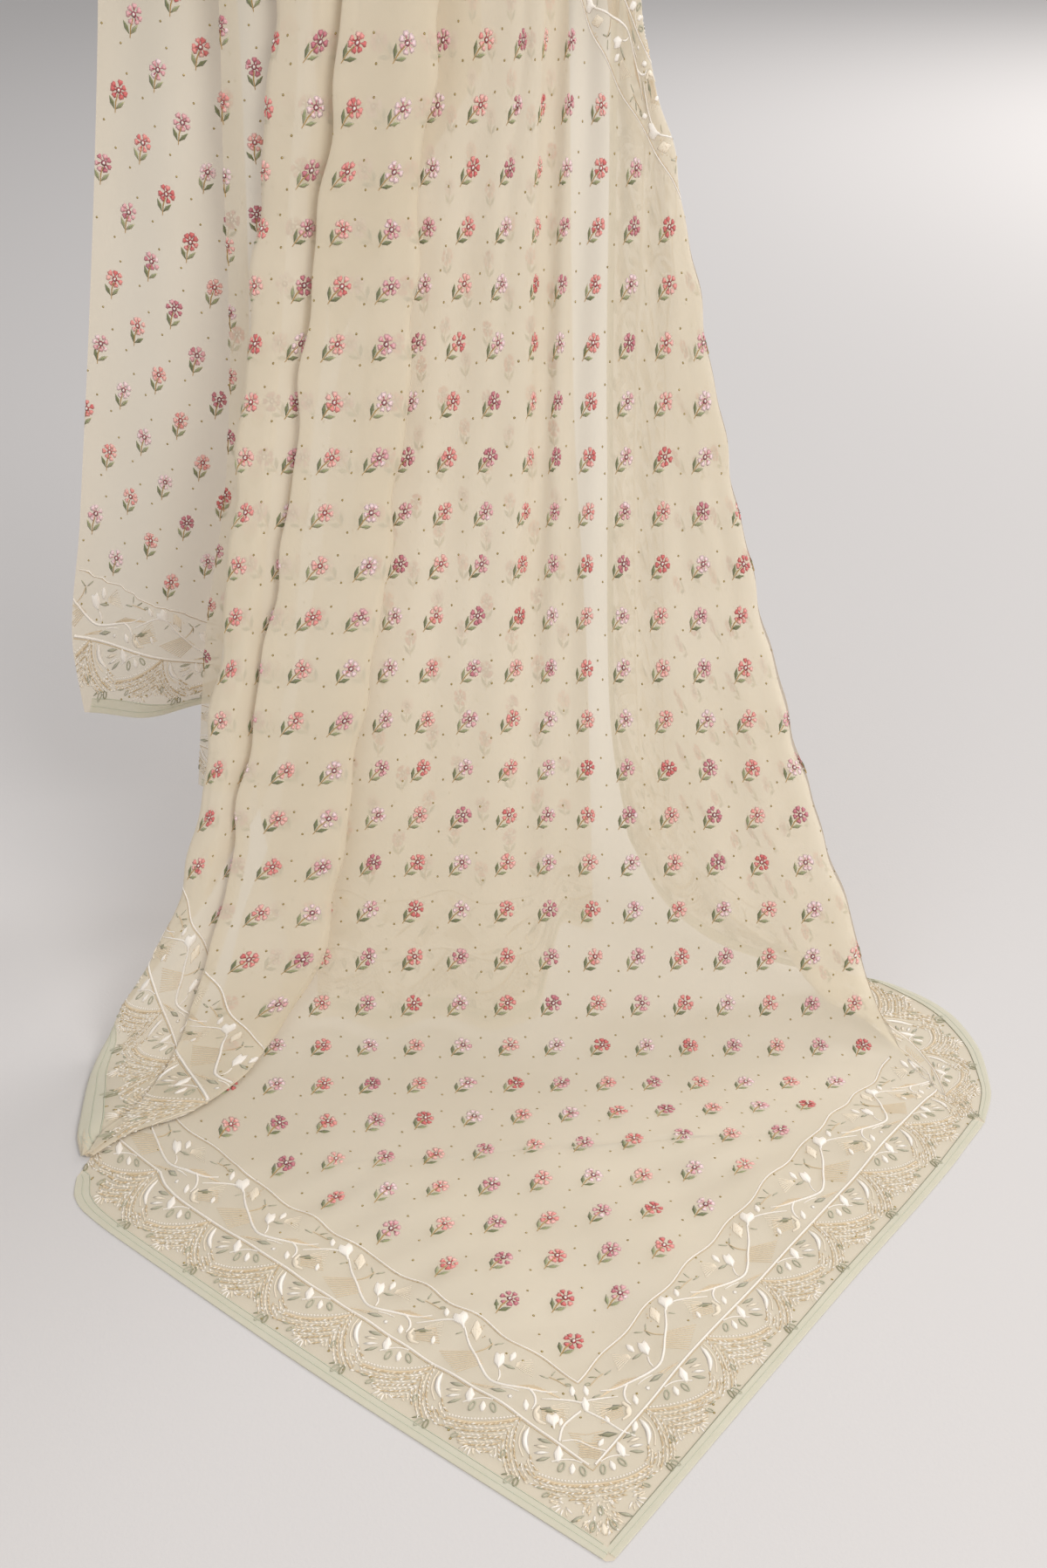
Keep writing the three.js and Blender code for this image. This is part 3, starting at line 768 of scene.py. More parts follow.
    def limit(self, row: Points, side: str) -> Points:
        """Reads the fall's edge.

        Args:
            row: lattice rows.
            side: left or right.
        Returns:
            its lattice columns.
        """
        row = np.asarray(row, float)
        edge = self.limits.read(row, side)
        if side == "right":
            edge = np.where(row > 33.5, np.minimum(self.rail_row - row, edge), edge)
        return np.where(row <= self.hem_row, -row if side == "left" else row, edge)

    def bow(self, row: Points, column: Points) -> tuple[Points, Points]:
        """Works out how the hems bow on the floor.

        Args:
            row: lattice rows.
            column: lattice columns.
        Returns:
            how far each place moves across and back.
        """
        left = column < 0
        edge = np.abs(np.where(left, self.limit(row, "left"), self.limit(row, "right")))
        reach = (np.abs(column) / np.maximum(edge, 0.01)) ** 3
        out = np.where(left, self.hem_bow.read(row, "left"), self.hem_bow.read(row, "right")) * reach
        facing = math.hypot(*self.step_along) * math.sqrt(2)
        lean = np.where(left, self.step_along[1], -self.step_along[1])
        return -lean * out / facing, -self.step_across[0] * out / facing

    def point(self, row: Points, column: Points) -> Points:
        """Works out the front fall's points.

        Args:
            row: lattice rows.
            column: lattice columns.
        Returns:
            their points.
        """
        shift_x, shift_y = self.bow(row, column)
        flat_x = self.corner[0] + column * self.step_across[0] + row * self.step_along[0] + shift_x
        flat_y = self.corner[1] + column * self.step_across[1] + row * self.step_along[1] + shift_y
        hangs = ease(self.floor_row - 1.5, self.floor_row + 1.2, row)
        fold = self.limit(row, "right")
        turn = np.clip((column - fold + self.fold_start) / self.fold_start, 0, 1)
        rounded = ease(13, 14.5, row) * (1 - ease(32, 34, row))
        back = self.fold_round * (1 - np.sqrt(1 - turn * turn)) * rounded
        hung = self.beside(row, self.fall_x(row, column), self.soft_folds(row, column) * (1 - turn) - back)
        z = np.maximum(mix(FLOOR, hung[..., 2], hangs), FLOOR) + np.where(row < self.floor_row, self.lift, 0)
        z = z + self.creases(row, column)
        return vectors(mix(flat_x, hung[..., 0], hangs), mix(flat_y, hung[..., 1], hangs), z)


def on_lattice(column: Points, row: Points) -> Points:
    """Turns lattice columns and rows to places on the flat cloth."""
    return np.stack([(column + row) * STEP, (row - column) * STEP], axis=-1)


@dataclass
class FrontFall:
    """The wide front fall, from the corner on the floor to behind the rail."""

    hanging: Hanging
    steps: int = 104
    rows: Points = field(
        default_factory=lambda: runs(
            (0.06, 9.2, 76), (9.2, 16, 56), (16, 35.8, 110), (35.8, 37.93, 16), (37.93, 40.66, 14)
        )
    )

    def sheet(self) -> ClothSheet:
        """Lays out the fall's grid.

        Returns:
            the sheet.
        """
        rows = self.rows[:, None]
        t = np.linspace(0, 1, self.steps + 1)[None, :]
        crowded = np.where(rows < self.hanging.hem_row, t, np.sin(t * np.pi / 2) * 0.35 + t * 0.65)
        column = mix(self.hanging.limit(rows, "left"), self.hanging.limit(rows, "right"), crowded)
        row = np.broadcast_to(rows, column.shape)
        return ClothSheet("front_fall", self.hanging.point(row, column), on_lattice(column, row))


@dataclass
class Pleats:
    """The two soft pleats at the left of the fall."""

    hanging: Hanging
    steps: int = 64
    centre_end: tuple[float, float] = (44.3, 46.9)  # row of the long edge at the right, at the valley
    left_end: tuple[float, float] = (47.0, 50.0)  # and at the valley, at the left
    tucks: tuple[float, float] = (98.0, 60.0)  # how far each pleat's return runs behind it
    overlap: float = 7.0  # how far the centre pleat laps over the left one
    turned_under: float = 13.0  # how much of the centre pleat is turned under at its left edge
    wave: float = 2.3  # how far the folds' edges waver
    edges: Table = Table(
        "row right valley left",
        (
            (8.9, -243, -247, -251), (9.6, -214, -240, -262), (10.2, -166, -221, -265),
            (11.3, -124, -200, -269), (12.9, -86, -175, -251), (14.4, -47, -151, -212),
            (15.9, -34, -133, -183), (18.1, -17, -115, -161), (19.4, -8, -103, -152), (21.1, 10, -88, -139),
            (23.2, 24, -67, -127), (26.3, 45, -45, -105), (29.2, 56, -21, -83), (31.2, 73, -2, -66),
            (36.6, 104, 30, -36), (52, 110, 26, -44),
        ),
    )
    # lattice columns at the centre pleat's right edge, the valley and the left pleat's edge
    columns: Table = Table(
        "row right valley left",
        (
            (8.9, -8.9, -8.92, -8.95), (10.2, -8.85, -9.6, -10.2), (11.3, -8.8, -10.1, -11.3),
            (12.9, -8.6, -10.5, -12.6), (14.4, -8.5, -10.75, -12.5), (20, -8.45, -10.85, -12.4),
            (36.6, -8.2, -10.2, -11.9), (52, -8.2, -10.4, -12.3),
        ),
    )

    def layers(self, row: Points) -> Points:
        """Returns how much of the pleats' depth is left at each row, less on the floor and the rail."""
        closed = mix(1, 0.34, ease(31, self.hanging.rail_row, row))
        return closed * (1 - 0.72 * (1 - ease(11, 15, row)))

    def waver(self, row: Points, phase: float) -> Points:
        """Returns how far a fold's edge wavers from its straight run."""
        free = ease(13, 17, row) * (1 - ease(32, 36, row))
        return self.wave * free * (np.sin(row * 2.3 + phase) + 0.6 * np.sin(row * 3.9 + phase * 2.3))

    def lifted(self, points: Points) -> Points:
        """Lifts what lies on the floor clear of the fall's edge.

        Args:
            points: the pleat's points.
        Returns:
            the lifted points.
        """
        row = (points[..., 1] - self.hanging.corner[1]) / self.hanging.step_along[1]
        limit = self.hanging.limit(np.clip(row, 0, 12), "left")
        edge = self.hanging.corner[0] + limit * self.hanging.step_across[0]
        over = np.clip((points[..., 0] + 6.3 * row - edge + 40) / 32, 0, 1)
        low = FLOOR + self.hanging.lift + over**2 * (3 - 2 * over) * 2.2
        return vectors(points[..., 0], points[..., 1], np.maximum(points[..., 2], low))

    def rounded(self, section: list[tuple[Points, Points]]) -> tuple[Points, Points]:
        """Smooths a section to the grid's steps.

        Args:
            section: its (x, out) points, each a column of values.
        Returns:
            its fine x and out.
        """
        keys = np.arange(len(section))
        at = np.linspace(0, keys[-1], self.steps + 1)
        fine = []
        for side in zip(*section, strict=True):
            rough = np.stack([np.broadcast_to(place, section[0][0].shape) for place in side], axis=-1)
            fine.append(np.stack([natural(keys, row, at) for row in rough[:, 0]]))
        return fine[0], fine[1]

    def arc_share(self, x: Points, out: Points, first: int, last: int) -> Points:
        """Shares out the section's length.

        Args:
            x: the fine section's places across.
            out: how far they stand out.
            first: the step where the share is 0.
            last: the step where it is 1.
        Returns:
            the share at each step.
        """
        parts = np.hypot(np.diff(x, axis=1), np.diff(out, axis=1))
        length = np.concatenate([np.zeros((len(x), 1)), np.cumsum(parts, axis=1)], axis=1)
        start, end = length[:, first][:, None], length[:, last][:, None]
        return (length - start) / np.maximum(end - start, 1e-6)

    def grid(
        self, name: str, rows: Points, x: Points, out: Points, column: Points, ends: Points
    ) -> ClothSheet:
        """Hangs a pleat's fine sections on the path.

        Args:
            name: the piece's name.
            rows: the grid's rows.
            x: the fine section's places across.
            out: how far they stand out.
            column: lattice columns.
            ends: the row where the cloth ends.
        Returns:
            the sheet.
        """
        behind_row = self.hanging.rail_row + self.hanging.rows_round_rail
        longest = rows.max()
        extra = np.maximum(rows[:, None] - behind_row, 0) / (longest - behind_row)
        row = rows[:, None] - extra * (longest - ends)
        points = self.hanging.beside(row, x, 0.6 + out * self.layers(rows[:, None]))
        column = np.maximum(column, -row)
        return ClothSheet(name, self.lifted(points), on_lattice(column, row), turned=True)

    def rows(self, end: float) -> Points:
        """Returns the grid's rows down to where the cloth ends behind the rail."""
        return runs((8.95, 15, 44), (15, 35.8, 110), (35.8, 37.93, 16), (37.93, end, 30))

    def centre(self) -> ClothSheet:
        """Lays out the centre pleat, with the return that is tucked behind its fold.

        Returns:
            the sheet.
        """
        rows = self.rows(self.centre_end[1])
        row = rows[:, None]
        right = self.edges.read(row, "right") + self.waver(row, 0.4)
        valley = self.edges.read(row, "valley") + self.waver(row, 2.1)
        tucked = mix(6, self.tucks[0], ease(11.5, 19, row))
        edge = valley - self.overlap * ease(10.5, 14, row)
        under = self.turned_under * ease(11.5, 15, row)
        section = [
            (right - tucked, 6), (right - tucked * 0.5, 6), (right - 5, 7), (right - 1, 10), (right, 14),
            (right - 2, 18), (right - 8, 22), (mix(right, edge, 0.3), 26), (mix(right, edge, 0.5), 25),
            (mix(right, edge, 0.74), 23), (mix(right, edge, 0.91), 22), (edge + 1, 20.4), (edge, 18.4),
            (edge + 0.08 * under, 16.6), (edge + 0.4 * under, 15.2), (edge + under, 14.4),
        ]
        x, out = self.rounded(section)
        fold, last = round(4 / 15 * self.steps), round(12 / 15 * self.steps)
        share = self.arc_share(x, out * self.layers(row), fold, last)
        column = mix(self.columns.read(row, "right"), self.columns.read(row, "valley"), share)
        t = np.clip((x - valley) / np.maximum(right - valley, 1e-6), 0, 1)
        ends = mix(self.centre_end[1], self.centre_end[0], t)
        return self.grid("centre_pleat_cloth", rows, x, out, column, ends)

    def left(self) -> ClothSheet:
        """Lays out the left pleat, with the edge that turns behind it.

        Returns:
            the sheet.
        """
        rows = self.rows(self.left_end[1])
        row = rows[:, None]
        left = self.edges.read(row, "left") + self.waver(row, 4.4)
        valley = self.edges.read(row, "valley") + self.waver(row, 2.1)
        tucked, turned = mix(0, self.tucks[1], ease(13.5, 19, row)), ease(11.5, 15, row)
        section = [
            (valley, 7.0), (mix(valley, left, 0.14), 8.5), (mix(valley, left, 0.32), 14.5),
            (mix(valley, left, 0.52), 19), (mix(valley, left, 0.74), 18), (left + 6, 15.5), (left + 1, 12.5),
            (left, 8), (left + 2 * turned + tucked * 0.1, mix(1.4, -4, turned)),
            (left + 4 * turned + tucked * 0.55, mix(0.8, -7, turned)),
            (left + 6 * turned + tucked, mix(0.4, -7.5, turned)),
        ]
        x, out = self.rounded(section)
        edge = round(7 / 10 * self.steps)
        tail = np.arange(self.steps + 1) - edge
        laid = x[:, edge][:, None] - tail * 0.03
        x = np.where((row < 11.5) & (tail > 0), laid, x)
        share = self.arc_share(x, out * self.layers(row), 0, edge)
        column = mix(self.columns.read(row, "valley"), self.columns.read(row, "left"), share)
        t = np.clip((x - left) / np.maximum(valley - left, 1e-6), 0, 1)
        ends = mix(self.left_end[1], self.left_end[0], t)
        return self.grid("left_pleat_cloth", rows, x, out, column, ends)


@dataclass
class FoldBack:
    """The cloth that turns back behind the fall at its right-hand fold."""

    hanging: Hanging
    steps: int = 84
    waves: int = 3
    wave_depth: float = 15.0
    foot_row: float = 12.3
    seam_gap: float = 0.1
    edge_top: float = 958.0  # height of the free edge at the rail
    edge_drop: float = 804.0  # how much lower its tip is
    drop: Table = Table(  # height at the fold, height and place of the free edge, depth, share of the fold
        "fold edge x_edge behind share",
        (
            (12, 180, 246, 46, 0.87), (42, 196, 242, 48, 0.834), (117, 232, 235, 50, 0.753),
            (200, 282, 230, 50, 0.67), (284, 344, 228, 50, 0.588), (373, 415, 227, 50, 0.506),
            (460, 490, 226, 48, 0.43), (560, 576, 224, 45, 0.342), (660, 664, 223, 40, 0.26),
            (756, 756, 222, 34, 0.177), (857, 857, 220, 26, 0.095), (962, 958, 221, 14, 0.0),
        ),
    )
    loop_hem: Table = Table(
        "along x y h",
        (
            (0, 573, -415, 0), (0.09, 589, -371, 0), (0.18, 592, -325, 0), (0.27, 582, -277, 0),
            (0.36, 552, -236, 0), (0.46, 505, -212, 3), (0.6, 430, -218, 22), (0.74, 352, -216, 48),
            (0.87, 290, -196, 88), (1, 250, -172, 154),
        ),
    )
    top: tuple[float, float] = (3.1, 33.5)  # lattice corners of the turned-back triangle
    bottom: tuple[float, float] = (9.2, 9.2)
    tip: tuple[float, float] = (18.3, 18.3)

    def hung(self, fold: Points, t: Points) -> Points:
        """Places the hanging part.

        Args:
            fold: heights of the fold.
            t: shares of the way to the free edge.
        Returns:
            its points.
        """
        sizes = {k: self.drop.read(fold, k) for k in ("edge", "x_edge", "behind")}
        rounding = np.sqrt(1 - (1 - np.clip(t / 0.1, 0, 1)) ** 2)
        row = Table(self.hanging.fall.columns, self.hanging.fall.rows[1:]).read(fold, "row", key="h")
        h = mix(fold, sizes["edge"], t**1.4)
        x = mix(self.hanging.fold_x(row) - 0.6, sizes["x_edge"], t)
        waves = self.wave_depth * np.sin(t * self.waves * 2 * np.pi) * ease(0.05, 0.3, t)
        taper = 1 - ease(800, 970, fold)
        reach = sizes["behind"] - self.hanging.fold_round - 5
        behind = self.hanging.fold_round + 0.3 + rounding * 6 + reach * ease(0, 0.7, t)
        slope = (self.hanging.y_at(h + 5) - self.hanging.y_at(h - 5)) / 10
        return vectors(x, self.hanging.y_at(h) + (behind + waves * taper) * np.hypot(1, slope), FLOOR + h)

    def seam_shift(self, down: Points) -> Points:
        """Works out what moves the skirt's near edge onto the fall's edge.

        Args:
            down: shares of the way down.
        Returns:
            a shift for each.
        """
        row = mix(self.foot_row, self.hanging.hem_row, down)
        seam = self.hanging.point(row, self.hanging.limit(row, "right"))
        lowest = np.full_like(down, self.drop.rows[0][0])
        foot = self.hung(lowest, np.zeros_like(down))
        hem = np.array([self.loop_hem.rows[0][1], self.loop_hem.rows[0][2], FLOOR])
        shift = seam - mix(foot, hem, down[..., None])
        return shift + np.array([1, 0.6, 0]) * self.seam_gap * 1.5

    def sheet(self) -> ClothSheet:
        """Lays out the fold-back: the part that hangs, then the skirt down to the loop's hem.

        Returns:
            the sheet.
        """
        t = np.linspace(0, 1, self.steps + 1)[None, :] ** 1.25
        heights = runs((962, 857, 12), (857, 117, 96), (117, 12, 18))[:, None]
        top, bottom, tip = (np.array(corner) for corner in (self.top, self.bottom, self.tip))
        fold, t_hung = np.broadcast_arrays(heights, t)
        hung = self.hung(fold, t_hung)
        share = self.drop.read(fold, "share")[..., None]
        edge = ((self.edge_top - self.drop.read(fold, "edge")) / self.edge_drop)[..., None]
        flat = mix(top + (bottom - top) * share, top + (tip - top) * edge, t_hung[..., None])
        down, t_low = np.broadcast_arrays(np.linspace(0, 1, 31)[1:, None], t)
        lowest = np.broadcast_to(hung[-1], (*down.shape, 3))
        hem = vectors(*(self.loop_hem.read(t_low, k) for k in ("x", "y", "h")))
        hem[..., 2] += FLOOR
        skirt = mix(lowest, hem, down[..., None])
        skirt[..., 2] = mix(skirt[..., 2], hem[..., 2], ease(0, 0.8, down) * (1 - ease(0.3, 0.6, t_low)))
        skirt += self.seam_shift(down) * ((1 - t_low) ** 6)[..., None]
        skirt[..., 2] = np.maximum(skirt[..., 2], FLOOR + self.hanging.lift)
        low = np.broadcast_to(flat[-1], (*down.shape, 2))
        flat = np.concatenate([flat, mix(low, bottom + (tip - bottom) * t_low[..., None], down[..., None])])
        grid = np.concatenate([hung, skirt])
        return ClothSheet("fold_back_cloth", grid, on_lattice(flat[..., 0], flat[..., 1]), turned=True)


@dataclass
class StraightStretch:
    """A stretch that hangs straight from the rail and goes a short way down behind it."""

    name: str
    seat: float  # radius at which it lies on the rail
    tail: float
    shape: Callable[[Points, Points], Points]
    flat: Callable[[Points, Points], Points]
    heights: Points
    steps: int

    def sheet(self) -> ClothSheet:
        """Lays out the stretch: its drop in front, its turn over the rail and its tail behind.

        Returns:
            the sheet.
        """
        t = np.linspace(0, 1, self.steps + 1)[None, :]
        h = self.heights[:, None]
        front = self.shape(*np.broadcast_arrays(h, t))
        edge = front[-1]
        swell = edge[:, 1] + self.seat
        turn = np.linspace(0, math.pi, 13)[1:, None]
        out = self.seat - swell * np.cos(turn) ** 2
        round_rail = vectors(np.broadcast_to(edge[:, 0], out.shape), -out * np.cos(turn), out * np.sin(turn))
        down = np.linspace(0, self.tail, max(round(self.tail / 10), 1) + 1)[1:, None]
        behind = vectors(edge[None, :, 0], self.seat + np.abs(swell)[None, :], -down)
        grid = np.concatenate([front, round_rail, behind])
        beyond = np.concatenate([self.seat * turn, self.seat * math.pi + down])
        drop = np.concatenate([h, RAIL_HEIGHT + beyond])
        return ClothSheet(self.name, grid, self.flat(*np.broadcast_arrays(drop, t)))


@dataclass
class StraightStretches:
    """The short end at the far left, the roll beside it and the layer behind the fall."""

    hanging: Hanging
    seat: float = 14.0
    under_behind: float = 34.0
    # the short end's place on the flat cloth: at the rail's middle on the floor, per mm aside, per mm up
    leaning_across: tuple[float, float, float] = (-93.9, 0.396, 0.857)
    leaning_along: tuple[float, float, float] = (2684.0, -0.942, 0.34)
    short_end: Table = Table(
        "h left right",
        (
            (188, -338, -192), (250, -339, -182), (414, -308, -150), (590, -273, -120), (755, -242, -108),
            (889, -219, -102), (1120, -186, -104),
        ),
    )
    roll: Table = Table(
        "h left right",
        (
            (108, -218, -160), (290, -190, -132), (466, -150, -104), (615, -131, -82), (759, -122, -62),
            (860, -114, -48), (1120, -100, -42),
        ),
    )
    under: Table = Table(
        "h left right",
        (
            (0, -62, 214), (120, -56, 212), (300, -36, 208), (560, -8, 192), (860, 22, 184), (1120, 44, 168),
        ),
    )

    def short_end_sheet(self) -> ClothSheet:
        """Lays out the short end, whose lattice leans on the bias.

        Returns:
            the sheet.
        """
        foot = self.short_end.rows[0][0]

        def shape(h: Points, t: Points) -> Points:
            """Places the cloth in front of the rail.

            Args:
                h: heights above the floor.
                t: shares of the way across.
            Returns:
                its points.
            """
            x = self.short_end.between(h, t)
            free = 1 - ease(880, RAIL_HEIGHT, h)
            wave = (6 * np.sin(t * 7.5 + 0.6) + 8 * t) * free
            hem = np.where(h < 200, -6 * np.sin(t * 5), 0)
            return vectors(x, -self.seat + 32 * free + wave, FLOOR + h + hem)

        def flat(h: Points, t: Points) -> Points:
            """Turns the same places to the flat cloth.

            Args:
                h: heights, and lengths past the rail.
                t: shares of the way across.
            Returns:
                the flat places.
            """
            x = self.short_end.between(h, t)
            inner_line = 318 - 0.5247 * (x + 235)  # where the border ends on the leaning cloth
            above = h - inner_line
            across, along = (
                start + aside * x + up * h for start, aside, up in (self.leaning_across, self.leaning_along)
            )
            across = across + 19 * (1 - ease(0, 160, above))
            in_border = BORDER * (h - foot) / np.maximum(inner_line - foot, 1)
            across = np.where(above < 0, in_border, np.maximum(across, BORDER + above * 0.8))
            return np.stack([across, along], axis=-1)

        heights = runs((foot, 240, 12), (240, 900, 80), (900, RAIL_HEIGHT, 20))
        return StraightStretch("short_end_cloth", self.seat, 190, shape, flat, heights, 56).sheet()

    def roll_sheet(self) -> ClothSheet:
        """Lays out the roll.

        Returns:
            the sheet.
        """
        foot = self.roll.rows[0][0]

        def shape(h: Points, t: Points) -> Points:
            """Places the cloth in front of the rail.

            Args:
                h: heights above the floor.
                t: shares of the way across.
            Returns:
                its points.
            """
            x = self.roll.between(h, t)
            free = 1 - ease(900, RAIL_HEIGHT, h)
            return vectors(x, -self.seat + (14 - 15 * np.sin(t * np.pi)) * free, FLOOR + h)

        def flat(h: Points, t: Points) -> Points:
            """Turns the same places to the flat cloth."""
            wide = self.roll.read(h, "right") - self.roll.read(h, "left")
            return np.stack([h - foot, 1900 - wide * t], axis=-1)

        heights = runs((foot, RAIL_HEIGHT, 110))
        return StraightStretch("side_roll_cloth", self.seat, 150, shape, flat, heights, 24).sheet()

    def under_sheet(self) -> ClothSheet:
        """Lays out the folded layer behind the fall.

        Returns:
            the sheet.
        """

        def shape(h: Points, t: Points) -> Points:
            """Places the cloth in front of the rail.

            Args:
                h: heights above the floor.
                t: shares of the way across.
            Returns:
                its points.
            """
            x = self.under.between(h, t)
            hem = mix(7, 88, ease(0.79, 0.9, t))
            height = np.where(h < 240, mix(hem, 240, h / 240), h)
            free = 1 - ease(640, RAIL_HEIGHT, h)
            waves = 10 * np.sin(t * 5.2 * np.pi + 0.5) * free
            hung = self.hanging.y_at(np.clip(height, 12, 960)) + self.under_behind + waves
            return vectors(x, np.maximum(mix(-self.seat, hung, free), -400), FLOOR + height)

        def flat(h: Points, t: Points) -> Points:
            """Turns the same places to the flat cloth."""
            return np.stack([h - 7, 1500 - 290 * t], axis=-1)

        heights = runs((0, 240, 26), (240, RAIL_HEIGHT, 90))
        return StraightStretch("under_folds_cloth", self.seat, 12, shape, flat, heights, 110).sheet()


# ---- embroidery shapes ----
@dataclass(frozen=True)
class Stitched:
    """A small embroidered shape: points with heights above the cloth, and its faces."""

    points: Points
    faces: tuple[tuple[int, ...], ...]


class Needlework:
    """Models each embroidered shape once, flat, to be sewn on in copies."""

    crown_below = 0.5  # the wrong side's share of the right side's height
    padded_from = 5.5  # a shape at least this wide is padded flat behind a narrow rim

    def start(self, sides: int, length: float, width: float) -> bpy.types.Object:
        """Adds an oval face and opens it for editing.

        Args:
            sides: its corners.
            length: its length.
            width: its width.
        Returns:
            its object.
        """
        bpy.ops.object.select_all(action="DESELECT")
        bpy.ops.mesh.primitive_circle_add(vertices=sides, radius=length / 2, fill_type="NGON")
        piece = bpy.context.object
        bpy.ops.object.mode_set(mode="EDIT")
        bpy.ops.mesh.select_all(action="SELECT")
        bpy.ops.transform.resize(value=(width / length, 1, 1), center_override=(0, 0, 0))
        return piece

    def pick(self, piece: bpy.types.Object, test: Callable[[float, float, float], bool]) -> None:
        """Selects the vertices whose place passes a test.

        Args:
            piece: the shape's object.
            test: the test, on x, y and z.
        """
        bpy.ops.mesh.select_all(action="DESELECT")
        bpy.ops.object.mode_set(mode="OBJECT")
        for vertex in piece.data.vertices:
            vertex.select = test(*vertex.co)
        bpy.ops.object.mode_set(mode="EDIT")
        bpy.ops.mesh.select_mode(type="VERT")

    def close(self, piece: bpy.types.Object) -> Stitched:
        """Copies the shape to the wrong side, joins the rims and reads it out.

        Args:
            piece: the shape's object, which goes.
        Returns:
            the shape.
        """
        bpy.ops.mesh.select_all(action="SELECT")
        bpy.ops.mesh.duplicate()
        bpy.ops.transform.resize(value=(1, 1, -self.crown_below), center_override=(0, 0, 0))
        bpy.ops.mesh.flip_normals()
        bpy.ops.mesh.select_all(action="SELECT")
        bpy.ops.mesh.remove_doubles(threshold=0.001)
        bpy.ops.object.mode_set(mode="OBJECT")
        points = np.array([(vertex.co.y, -vertex.co.x, vertex.co.z) for vertex in piece.data.vertices])
        faces = tuple(tuple(face.vertices) for face in piece.data.polygons)
        mesh = piece.data
        bpy.data.objects.remove(piece)
        bpy.data.meshes.remove(mesh)
        return Stitched(points, faces)

    def satin(
        self, length: float, width: float, crown: float, sides: int = 8, tip: float = 1.0,
        tail: float = 1.0, notch: float = 0.0,
    ) -> Stitched:
        """Models a filled satin-stitch shape.

        Args:
            length: size along its own axis.
            width: size across.
            crown: height at its middle.
            sides: corners of its outline.
            tip: how wide its far end stays, from 0 for a point to above 1 for a broad end.
            tail: the same at its near end.
            notch: how far its far end is cut in.
        Returns:
            the shape, pointing along its first axis and centred.
        """
        piece = self.start(sides, length, width)
        reach = length * 0.2
        self.pick(piece, lambda x, y, z: y > reach)
        bpy.ops.transform.resize(value=(tip, 1, 1), center_override=(0, 0, 0))
        self.pick(piece, lambda x, y, z: y < -reach)
        bpy.ops.transform.resize(value=(tail, 1, 1), center_override=(0, 0, 0))
        if notch:
            self.pick(piece, lambda x, y, z: y > length * 0.46)
            bpy.ops.transform.translate(value=(0, -notch, 0))
        bpy.ops.mesh.select_all(action="SELECT")
        if width > self.padded_from:
            bpy.ops.mesh.inset(thickness=0.8, depth=crown * 0.8)
            crown *= 0.2
        bpy.ops.mesh.poke()
        self.pick(piece, lambda x, y, z: math.hypot(x, y) < min(length, width) * 0.2)
        bpy.ops.transform.translate(value=(0, 0, crown))
        return self.close(piece)

    def ring(self, length: float, width: float, thread: float, crown: float, sides: int = 10) -> Stitched:
        """Models an open ring of stitches.

        Args:
            length: its length.
            width: its width.
            thread: the stitches' width.
            crown: their height.
            sides: the ring's corners.
        Returns:
            the shape.
        """
        piece = self.start(sides, length, width)
        bpy.ops.mesh.select_all(action="SELECT")
        bpy.ops.mesh.inset(thickness=thread / 2, depth=crown)
        bpy.ops.mesh.inset(thickness=thread / 2, depth=-crown)
        bpy.ops.mesh.delete(type="FACE")
        return self.close(piece)


